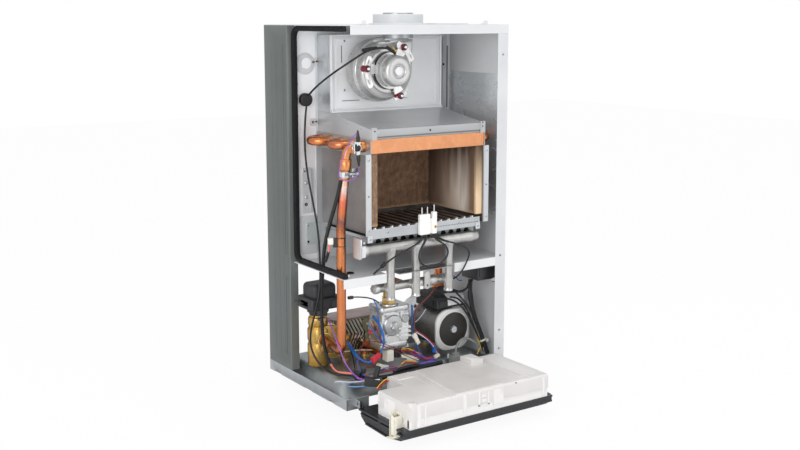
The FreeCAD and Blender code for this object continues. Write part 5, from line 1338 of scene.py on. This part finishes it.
igniter = Form()
igniter.pressed("z", soft_rectangle(146, -270, 198, -212, 4, 4),
    [(1, 198), (0, 199.5), (0, 243), (1, 245), (2, 245)], 0)
igniter.box((144.5, -262, 236), (150, -222, 248.5), 0).box((150, -272, 206), (190, -269, 240), 0)
igniter.box((186, -274, 193), (196, -262, 200), 1).box((188, -273, 190.5), (194, -263, 194), 2)
igniter.box((196, -273.4, 200), (198, -270, 246), 1)
igniter.done("igniter_case", [BLACK, NATURAL, BLUE], replaces="ignition_unit", bevel=1.0,
    slot="black_plastic")

# wiring of the left side

grommet = Form()
grommet.lathe((-163, 577), "y", [(10, -97), (13, -98), (13, -100.4), (9, -101), (8, -103), (12, -103.4),
    (13, -105), (13, -108), (11, -110), (4, -111)], 0, 32)
grommet.done("wall_grommet", RUBBER, replaces="left_wiring", slot="cable_black")
FAN_LEAD = [(-40, -240, 668), (-49, -240, 676), (-60, -237, 682), (-82, -228, 679), (-99, -222, 673),
    (-116, -213, 660), (-136, -192, 642), (-151, -164, 622), (-160, -132, 601), (-161.5, -112, 586)]
DROP_LEAD = [(-163, -108, 573), (-167, -106, 540), (-170, -106, 481), (-168, -118, 417), (-167, -145, 350),
    (-170, -163, 300), (-173, -170, 250), (-181, -184, 216), (-191, -186, 172), (-194, -162, 120),
    (-192, -160, 78), (-182, -190, 46), (-168, -222, 40), (-140, -240, 40),
    (-110, -252, 34), (-96, -262, 30)]
wires("left_leads", [FAN_LEAD, DROP_LEAD], 2.0, CABLE)
CONDUIT = [(-183, -268, 436), (-184.5, -262, 408), (-190, -236, 350), (-177, -192, 290), (-171, -178, 250),
    (-180, -188, 214), (-184, -190, 121), (-178, -200, 70), (-172, -204, 60)]
corrugated(Form(), CONDUIT, 3.8).done("left_conduit", CABLE, smooth=60)
strap = Form()
strap.aimed((-186, -190, 150), (0.05, 0, 1), [(4.6, -2.2), (4.6, 2.2)], 0, 20)
strap.aimed((-47, -241, 674), (-0.8, 0.1, 0.5), [(2.4, -2), (3.4, -1), (3.4, 14), (2.6, 16)], 1, 18)
strap.aimed((-76, -231, 681), (-0.95, 0.25, -0.15), [(2.6, 0), (3.3, 1), (3.3, 30), (2.6, 31)], 1, 18)
strap.done("lead_sleeves", [BLACK, RUBBER], smooth=50)

# wiring of the right side

HARNESS = [[(150 + s, -240 - s, 196), (147 + s, -242, 172), (148 + s, -245, 146), (155 + s, -246, 115),
    (167 + s, -251, 86), (176 + s, -256, 55), (180 + s, -262, 34)] for s in (-1.8, 1.8)]
wires("right_harness", HARNESS, 2.6, CABLE, replaces="right_wiring")
corrugated(Form(), HARNESS[1][1:], 4.0).done("right_conduit", CABLE, smooth=60)
wires("pump_leads", [[(112, -219, 158), (122, -228, 160), (134, -237, 146), (146, -240, 124),
    (153, -243, 101), (163, -248, 78), (171, -253, 50), (174, -256, 36)],
    [(142, -244, 190), (138, -246, 178), (120, -246, 172), (100, -240, 176), (92, -230, 182),
    (96, -222, 176)],
    [(152, -245, 196), (143, -243, 180), (130, -248, 178), (100, -256, 177), (67.5, -260, 184),
    (50, -254, 190)],
    [(104, -250, 176), (129, -248, 154), (151, -248, 123), (167, -252, 89), (178, -257, 45)],
    [(45, -215, 157), (79, -224, 163), (106, -232, 159), (124, -240, 145), (146, -245, 116),
    (172, -255, 48)]], 1.9, CABLE)
wires("thin_black", [[(152, -244, 196), (142, -240, 173), (146, -238, 150), (158, -246, 118),
    (170, -252, 84), (176, -257, 50)],
    [(-117, -180, 90), (-122.3, -200, 84.6), (-130.7, -225, 67.2), (-142.8, -250, 54)],
    [(-15, -236, 74), (-6, -240, 70), (3, -240, 61), (12, -244, 52)],
    [(-130, -203, 188), (-120, -204, 189), (-100, -222, 190), (-86, -236, 186), (-80, -240, 178)],
    [(-196, -140, 172), (-198, -142, 175), (-199, -130, 176), (-198.6, -110, 172)]], 1.3, CABLE)
wires("sensor_lead", [[(101, -255, 44), (101, -255, 58), (109, -254, 71), (128, -252, 77), (148, -253, 66),
    (162, -256, 52), (170, -258, 36)]], 2.6, GREY)
wires("earth_lead", [[(152.4, -246, 95.4), (156, -248, 86), (160, -250, 76), (165, -253, 60),
    (168, -256, 46), (168, -258, 37)],
    [(153, -262, 38), (158, -261, 46), (163, -259, 52), (166, -258, 45)],
    [(-24.5, -236, 72), (-14, -238, 73), (-3, -238, 70.5), (10, -242, 62), (21, -243, 56)],
    [(-37, -256, 48), (-30, -257, 54), (-22.8, -257, 55), (-10, -257, 50), (1.5, -256, 46)],
    [(-49, -243, 683), (-46, -243.4, 681.5), (-41, -242.6, 674)],
    [(-128, -306, 30), (-118, -310, 44), (-108, -311, 48), (-102, -311, 46)]], 1.1, YELLOW)

BLUES = [[(-117.2 + s, -180, 90), (-124 + s, -204, 85.6 + s), (-127 + s, -225, 76 + s),
    (-119, -238 + s, 65.4 + s), (-109.9, -246 + s, 61.4), (-105, -251 + s / 2, 65 + s)]
    for s in (-1.6, 0, 1.6)]
BLUES += [[(-87, -253, 76), (-81.6, -251 + s, 82), (-77.2 + s, -255, 93.5), (-78.5 + s, -255, 114),
    (-81.5, -251, 129.7 + s), (-82.2 + s, -240, 140), (-85.1, -225, 149 + s)] for s in (-1.7, 0, 1.7)]
BLUES += [[(-81, -249, 118), (-82.2, -244, 137), (-83, -240, 162), (-84, -240, 176), (-92, -236, 188)],
    [(-80, -250, 100), (-88, -244, 116), (-95, -234, 128), (-97, -226, 133)],
    [(2, -236, 162), (1, -238, 143), (-1, -240, 122), (9.6, -242, 105.6), (30, -245, 89.8),
    (48.2, -248, 70.4), (56, -252, 50)],
    [(4, -236, 160), (3, -238, 140), (1, -240, 120), (4, -241, 104), (10, -242, 84), (14, -243, 66),
    (22, -246, 54)],
    [(112, -230, 206), (122, -230, 202), (130, -226, 190), (138, -225, 192)],
    [(-132, -240, 70), (-138, -252, 56), (-136, -268, 46), (-124, -282, 38)],
    [(-97, -262, 44), (-88, -264, 52), (-69.5, -264, 50), (-51, -262, 44), (-38, -262, 38)],
    [(0, -258, 47), (20, -259, 41), (42, -258, 43), (52.5, -256, 47)],
    [(4, -261, 42), (24, -262, 37), (40, -260, 40), (50, -258, 43)]]
wires("blue_leads", BLUES, 1.15, BLUE)
wires("maroon_leads", [[(-94.8, -240, 143.6), (-89, -245, 126.6), (-82.5, -252, 108), (-79, -254, 96)],
    [(-97, -238, 136), (-90, -246, 120), (-85, -252, 110), (-80, -254, 100)],
    [(-140, -256, 52), (-130, -240, 75.5), (-118.8, -232, 95.3), (-102.3, -240, 105.5), (-84, -257, 102),
    (-43, -262, 80), (-20, -262, 68), (0, -256, 57)],
    [(-139.5, -258, 52), (-123.2, -252, 56), (-102.7, -247, 53), (-89, -244, 49)],
    [(-91, -262, 99), (-70, -262, 90), (-44, -262, 74), (-24, -260, 64), (-4, -256, 52), (10, -252, 46)]],
    0.8, sheath("sheath_maroon", "7c2430", "64202a"))
wires("brown_leads", [[(40.4, -262, 196), (38, -252, 181), (13, -247, 163), (1.9, -246, 145),
    (0.4, -246, 125), (3.4, -244, 105)],
    [(15.4, -244, 78), (21, -243, 68), (24, -242, 58), (22, -244, 48)],
    [(42.4, -262, 196), (40, -251, 180), (15, -246, 162), (4, -245, 145), (2.4, -245, 125),
    (4.8, -243.6, 105)],
    [(-12, -244, 70), (0, -250, 60), (16, -254, 52), (30, -256, 44)]], 1.0, BROWN)
wires("red_leads", [[(8, -243.6, 108), (20, -245, 100), (34, -246, 89.5), (50.5, -248, 73), (59, -252, 52)],
    [(-61.4, -245, 45.6), (-52, -246, 45), (-42, -248, 40), (-34, -250, 37)],
    [(-24.5, -237, 69), (-14, -239, 70), (-3, -239, 68), (10, -243, 59), (22, -244, 53)],
    [(-37, -257, 45), (-30, -258, 51), (-22, -258, 52), (-10, -258, 47), (2, -257, 43)],
    [(20, -257, 50), (32, -258, 52), (43, -258, 49.5), (53, -256, 50)],
    [(-100, -264, 42), (-88, -266, 48), (-70, -266, 46), (-54, -264, 41)],
    [(-132, -262, 50), (-126, -270, 44), (-118, -282, 38), (-108, -292, 36)],
    [(-128, -307, 27), (-118, -312, 40), (-108, -313, 44), (-102, -313, 42)]], 1.05, RED)
wires("white_leads", [[(8, -243, 105), (20, -244.6, 97), (34, -245.4, 87), (50, -248, 69.5),
    (57, -252, 50)],
    [(-61.4, -244, 42.6), (-52, -245, 42), (-42, -247, 37.6), (-34, -249, 35)],
    [(-14, -232, 76), (-22, -226, 70), (-30, -224, 62)],
    [(34, -204, 113), (44.5, -206, 119), (58, -208, 138)]], 1.05, PALE)
wires("violet_leads", [[(-160, -175, 145), (-176, -222, 133.5), (-187.5, -264, 113.5), (-179.8, -268, 85.7),
    (-166.8, -272, 61.5), (-148.8, -277, 42), (-138.4, -286, 44), (-122, -298, 39)],
    [(3, -242, 69), (10.6, -244, 57), (24, -247, 48), (49, -250, 41)],
    [(-6, -246, 64), (8, -250, 52), (26, -254, 45), (46, -254, 46)],
    [(0, -262, 40), (18, -262, 46), (34, -261, 44), (48, -259, 38)],
    [(-150, -266, 44), (-136, -280, 36), (-122, -290, 34), (-108, -298, 38)]], 1.3, VIOLET)
wires("salmon_leads", [[(-173 + s, -206, 60), (-176 + s, -220, 55), (-172, -230 + s, 49.8),
    (-161.9, -240, 48 + s), (-151.7, -252, 48.6 + s), (-146, -259, 47)] for s in (0, 2.2)], 1.1, SALMON)
wires("cream_lead", [[(-124, -150, 60), (-93, -152, 60), (-70, -158, 59), (-50.7, -164, 58),
    (-30, -182, 54), (-10, -206, 48)]], 1.2, NATURAL)
wires("sky_ribbon", [[(-168, -262 - 2 * k, 27 + k), (-150, -274 - 2 * k, 26 + k),
    (-134, -286 - 2 * k, 28 + k), (-122, -296 - 1.5 * k, 34 + k)] for k in range(5)], 1.0, SKY)
wires("pale_ribbon", [[(-186, -244 - 2 * k, 36 + k), (-166, -258 - 2 * k, 33 + k),
    (-148, -270 - 2 * k, 34 + k), (-134, -280 - 2 * k, 40 + k)] for k in range(5)], 1.0, PALE)
sleeves = corrugated(Form(), [(-150, -261, 42), (-132, -268, 38), (-104, -271, 34), (-60, -269, 34),
    (-16, -264, 36)], 4.2)
corrugated(sleeves, [(64, -256, 34), (38, -262, 36), (6, -267, 36), (-32, -270, 35), (-70, -271.5, 33),
    (-104, -272, 37)], 4.6)
corrugated(sleeves, [(-60, -262, 38), (-36, -266, 46), (-8, -266, 44), (18, -262, 36)], 3.4)
sleeves.done("tray_conduits", CABLE, smooth=60)
plugs = Form()
for at, way, size, skin in (((-95, -252, 71.5), (22, 0, 10), (21, 8, 9), 0),
        ((-101, -252, 66), (22, 0, 10), (9, 9.4, 6), 0),
        ((-75, -244, 47), (27.5, 0, -6.6), (26, 9, 8), 1),
        ((-82, -244.6, 49.6), (27.5, 0, -6.6), (8, 10, 10), 1),
        ((8, -243.6, 91), (14.5, 0, -26), (25, 6, 8), 1),
        ((4, -243.6, 98), (14.5, 0, -26), (9, 7, 10), 1),
        ((-8, -240, 55), (46, 0, -14), (38, 9, 7), 1),
        ((-2, -246, 48), (46, 0, -10), (26, 7, 7), 1),
        ((-15, -234, 78), (20, 0, 1), (17, 7, 7), 1),
        ((-21, -236, 83), (3, 0, 8), (8, 5, 5), 1),
        ((50, -258, 51), (14, 0, 5), (12, 7, 6), 1),
        ((50, -250, 62), (2, 0, 8), (12, 6, 6), 3),
        ((-147, -259, 49), (1, -0.4, -0.3), (13, 13, 12), 2),
        ((-132, -262, 50), (0.3, 0, 1), (16, 8, 8), 2),
        ((-148, -259, 56), (0.2, 0.1, 1), (12, 2.4, 1.6), 2),
        ((-141, -262, 42), (1, -0.2, -0.5), (16, 3, 2), 2),
        ((-126, -290, 38), (20, -14, -2), (34, 18, 15), 2),
        ((-126, -299, 41), (20, -14, 3), (17, 1.6, 9), 1),
        ((-126, -300, 41), (20, -14, 3), (13.4, 1.6, 5), 2),
        ((-110, -276, 46), (8, 4, 16), (34, 9, 8), 2),
        ((88.5, -246, 41), UPWARD, (9, 3, 3), 1),
        ((-125, -206, 188.6), (1, 0, 0), (11, 6, 6), 2),
        ((-89, -240, 128), (0.1, 0, 1), (10, 4, 4), 2),
        ((-93, -228, 118), (0.1, 0, 1), (8, 4, 5), 0)):
    plugs.brick(at, way, size, skin)
plugs.done("lead_plugs", [RED_HOUSING, NATURAL, BLACK, BLUE], bevel=0.7)
tie = Form()
tie.aimed((172, -256, 64), (0.3, -0.3, -1), [(8, -1.4), (8, 1.4)], 0, 24)
tie.box((178, -262, 60), (184, -256, 66))
tie.done("white_tie", [NATURAL], bevel=0.6)
plug = Form().boxes(((88, -261, 22), (114, -249, 43)),
    ((94, -259, 41), (108, -251, 49)),
    ((86, -263, 20), (116, -247, 26)),
    ((90, -261.8, 28), (99, -260, 40)),
    ((103, -261.8, 28), (112, -260, 40)))
plug.done("grey_plug", [GREY_HOUSING], bevel=1.2)

# control box

cover = Form()
cover.pressed("z", [(-165, -471.4), (165, -471.4), (165, -306), (-105, -306), (-105, -366), (-165, -366)],
    [(0, 22), (0, 45), (0.8, 48), (2.4, 49.6), (4.5, 50)])
cover.pressed("z", [(-164, -470.4), (164, -470.4), (164, -326), (-105, -326), (-105, -366), (-164, -366)],
    [(0, 4), (0, 23)])
for line in ([(-60, -310), (-76, -468)], [(107, -332), (89, -466)]):
    (x0, y0), (x1, y1) = line
    cover.prism("z", [(x0, y0), (x0 + 2, y0), (x1 + 2, y1), (x1, y1)], 49.6, 51)
cover.pressed("z", [(-58, -468), (54, -468), (54, -462), (104, -462), (104, -312), (-42, -312)],
    [(0, 49.4), (0, 51.2), (1, 52)])
cover.pressed("z", [(112, -456), (160, -456), (160, -312), (116, -312)],
    [(0, 49.4), (0.6, 50.6), (1.4, 51)])
cover.pressed("z", soft_rectangle(68, -352, 98, -312, 2.4, 3), [(0, 49), (0, 59.4), (0.7, 61.4), (2.2, 62)])
cover.pressed("z", soft_rectangle(-164, -471.6, -148, -457, 5, 4), [(0, 6), (0, 52), (1, 54), (3, 54.6)])
cover.pressed("z", [(-100, -340), (-64, -340), (-64, -326), (-84, -312), (-100, -312)],
    [(0, 49), (0, 50.8), (1, 51.4)])
for left, right, low, high in ((-148, -140, 6, 46), (-132, -128, 8, 44), (150, 156, 8, 46)):
    cover.box((left, -471.9, low), (right, -469, high))
cover.boxes(((-44, -471.9, 14), (-36, -469, 49)),
    ((28, -471.9, 14), (52, -470.6, 44)),
    ((-75, -471.9, 46), (-73, -470, 49.8)),
    ((-8, -471.9, 18), (-4.4, -468, 47)),
    ((14, -471.9, 18), (17.6, -468, 45)),
    ((-8, -471.9, 18), (17.6, -468, 21)))
cover.box((0.4, -471.9, 25), (10, -469, 40)).box((0.4, -471.9, 32), (10, -468, 33.4), 1)
cover.lathe((82.6, 47), "y", [(1.3, -471.9), (1.3, -470), (0.01, -470)], 1, 12)
cover.boxes(((-165.7, -424, 14), (-164, -388, 44)),
    ((-165.9, -416, 18), (-164.2, -396, 38)),
    ((-165.9, -372, 30), (-164, -368, 48)),
    ((-150, -380, 6), (-106, -364.6, 44)))
for k in range(6):
    cover.box((-98 + 32 * k, -306.4, 8), (-96 + 32 * k, -305.6, 44))
cover.done("control_lid", [WHITE, BLACK_AND_SHADE], "control_box", replaces="control_cover", bevel=0.8,
    slot="white_plastic", segments=3)

fascia = Form()
fascia.prism("x", [(-322, -12), (-340, -24), (-412, -26), (-456, -18), (-472, -6), (-472, 4),
    (-322, 4)], -175, 175)
fascia.box((-177, -471.9, 1), (177, -320, 4.6)).box((-176, -471.9, -9), (176, -468, -5))
for side in (-1, 1):
    fascia.prism("x", [(-326, -6), (-460, -6), (-460, -3), (-326, -3)], *mirrored(side, 174, 179))
    fascia.prism("x", [(-322, 1), (-462, 1), (-464, 4.6), (-320, 4.6)], *mirrored(side, 174, 180))
    fascia.lathe((-392, -1), "x", [(5, 174 * side), (5, 178.6 * side), (4, 180 * side), (2, 180.4 * side),
        (0.01, 180.4 * side)], 0, 24)
    fascia.prism("x", [(-340, -22), (-410, -24), (-410, -21), (-342, -19)], *mirrored(side, 174, 178))
    outline = [(-330, 0), (-330, 12), (-318, 16.4), (-313.6, 12), (-316, 4), (-322, 0)]
    fascia.prism("x", outline, *mirrored(side, 172, 175))
fascia.done("fascia_shell", BLACK, "control_box", replaces="control_fascia", bevel=0.8,
    slot="black_plastic", segments=3)

arms = Form()
for side in (-1, 1):
    arms.prism("x", [(-428, -15), (-428, 30), (-433, 30), (-433, -15)], *mirrored(side, 166, 181))
    arms.prism("x", [(-455, -9), (-428, -15), (-428, -17), (-455, -12)], *mirrored(side, 160, 188))
    arms.prism("x", [(-450, -10), (-450, 24), (-447, 30), (-430, 30), (-430, 26), (-445, 24), (-445, -11)],
        *mirrored(side, 164, 168))
    arms.prism("x", [(-450, -10), (-450, 26), (-446, 26), (-446, -11)], *mirrored(side, 166, 181))
    arms.prism("x", [(-448, -10), (-448, 22), (-430, 27), (-430, -13)], *mirrored(side, 178, 181))
    arms.prism("x", [(-447, 4), (-430, 4), (-430, 6.4), (-447, 6.4)], *mirrored(side, 167, 180))
    arms.prism("x", [(-455, -11.6), (-452, -12.2), (-452, -7), (-455, -6.4)], *mirrored(side, 160, 188))
    arms.screw((175 * side, -440, -9), UPWARD, 3, 1)
arms.done("arm_brackets", [CREAM, SCREW], "control_box", replaces="control_arms", bevel=0.7,
    slot="cream_plastic")
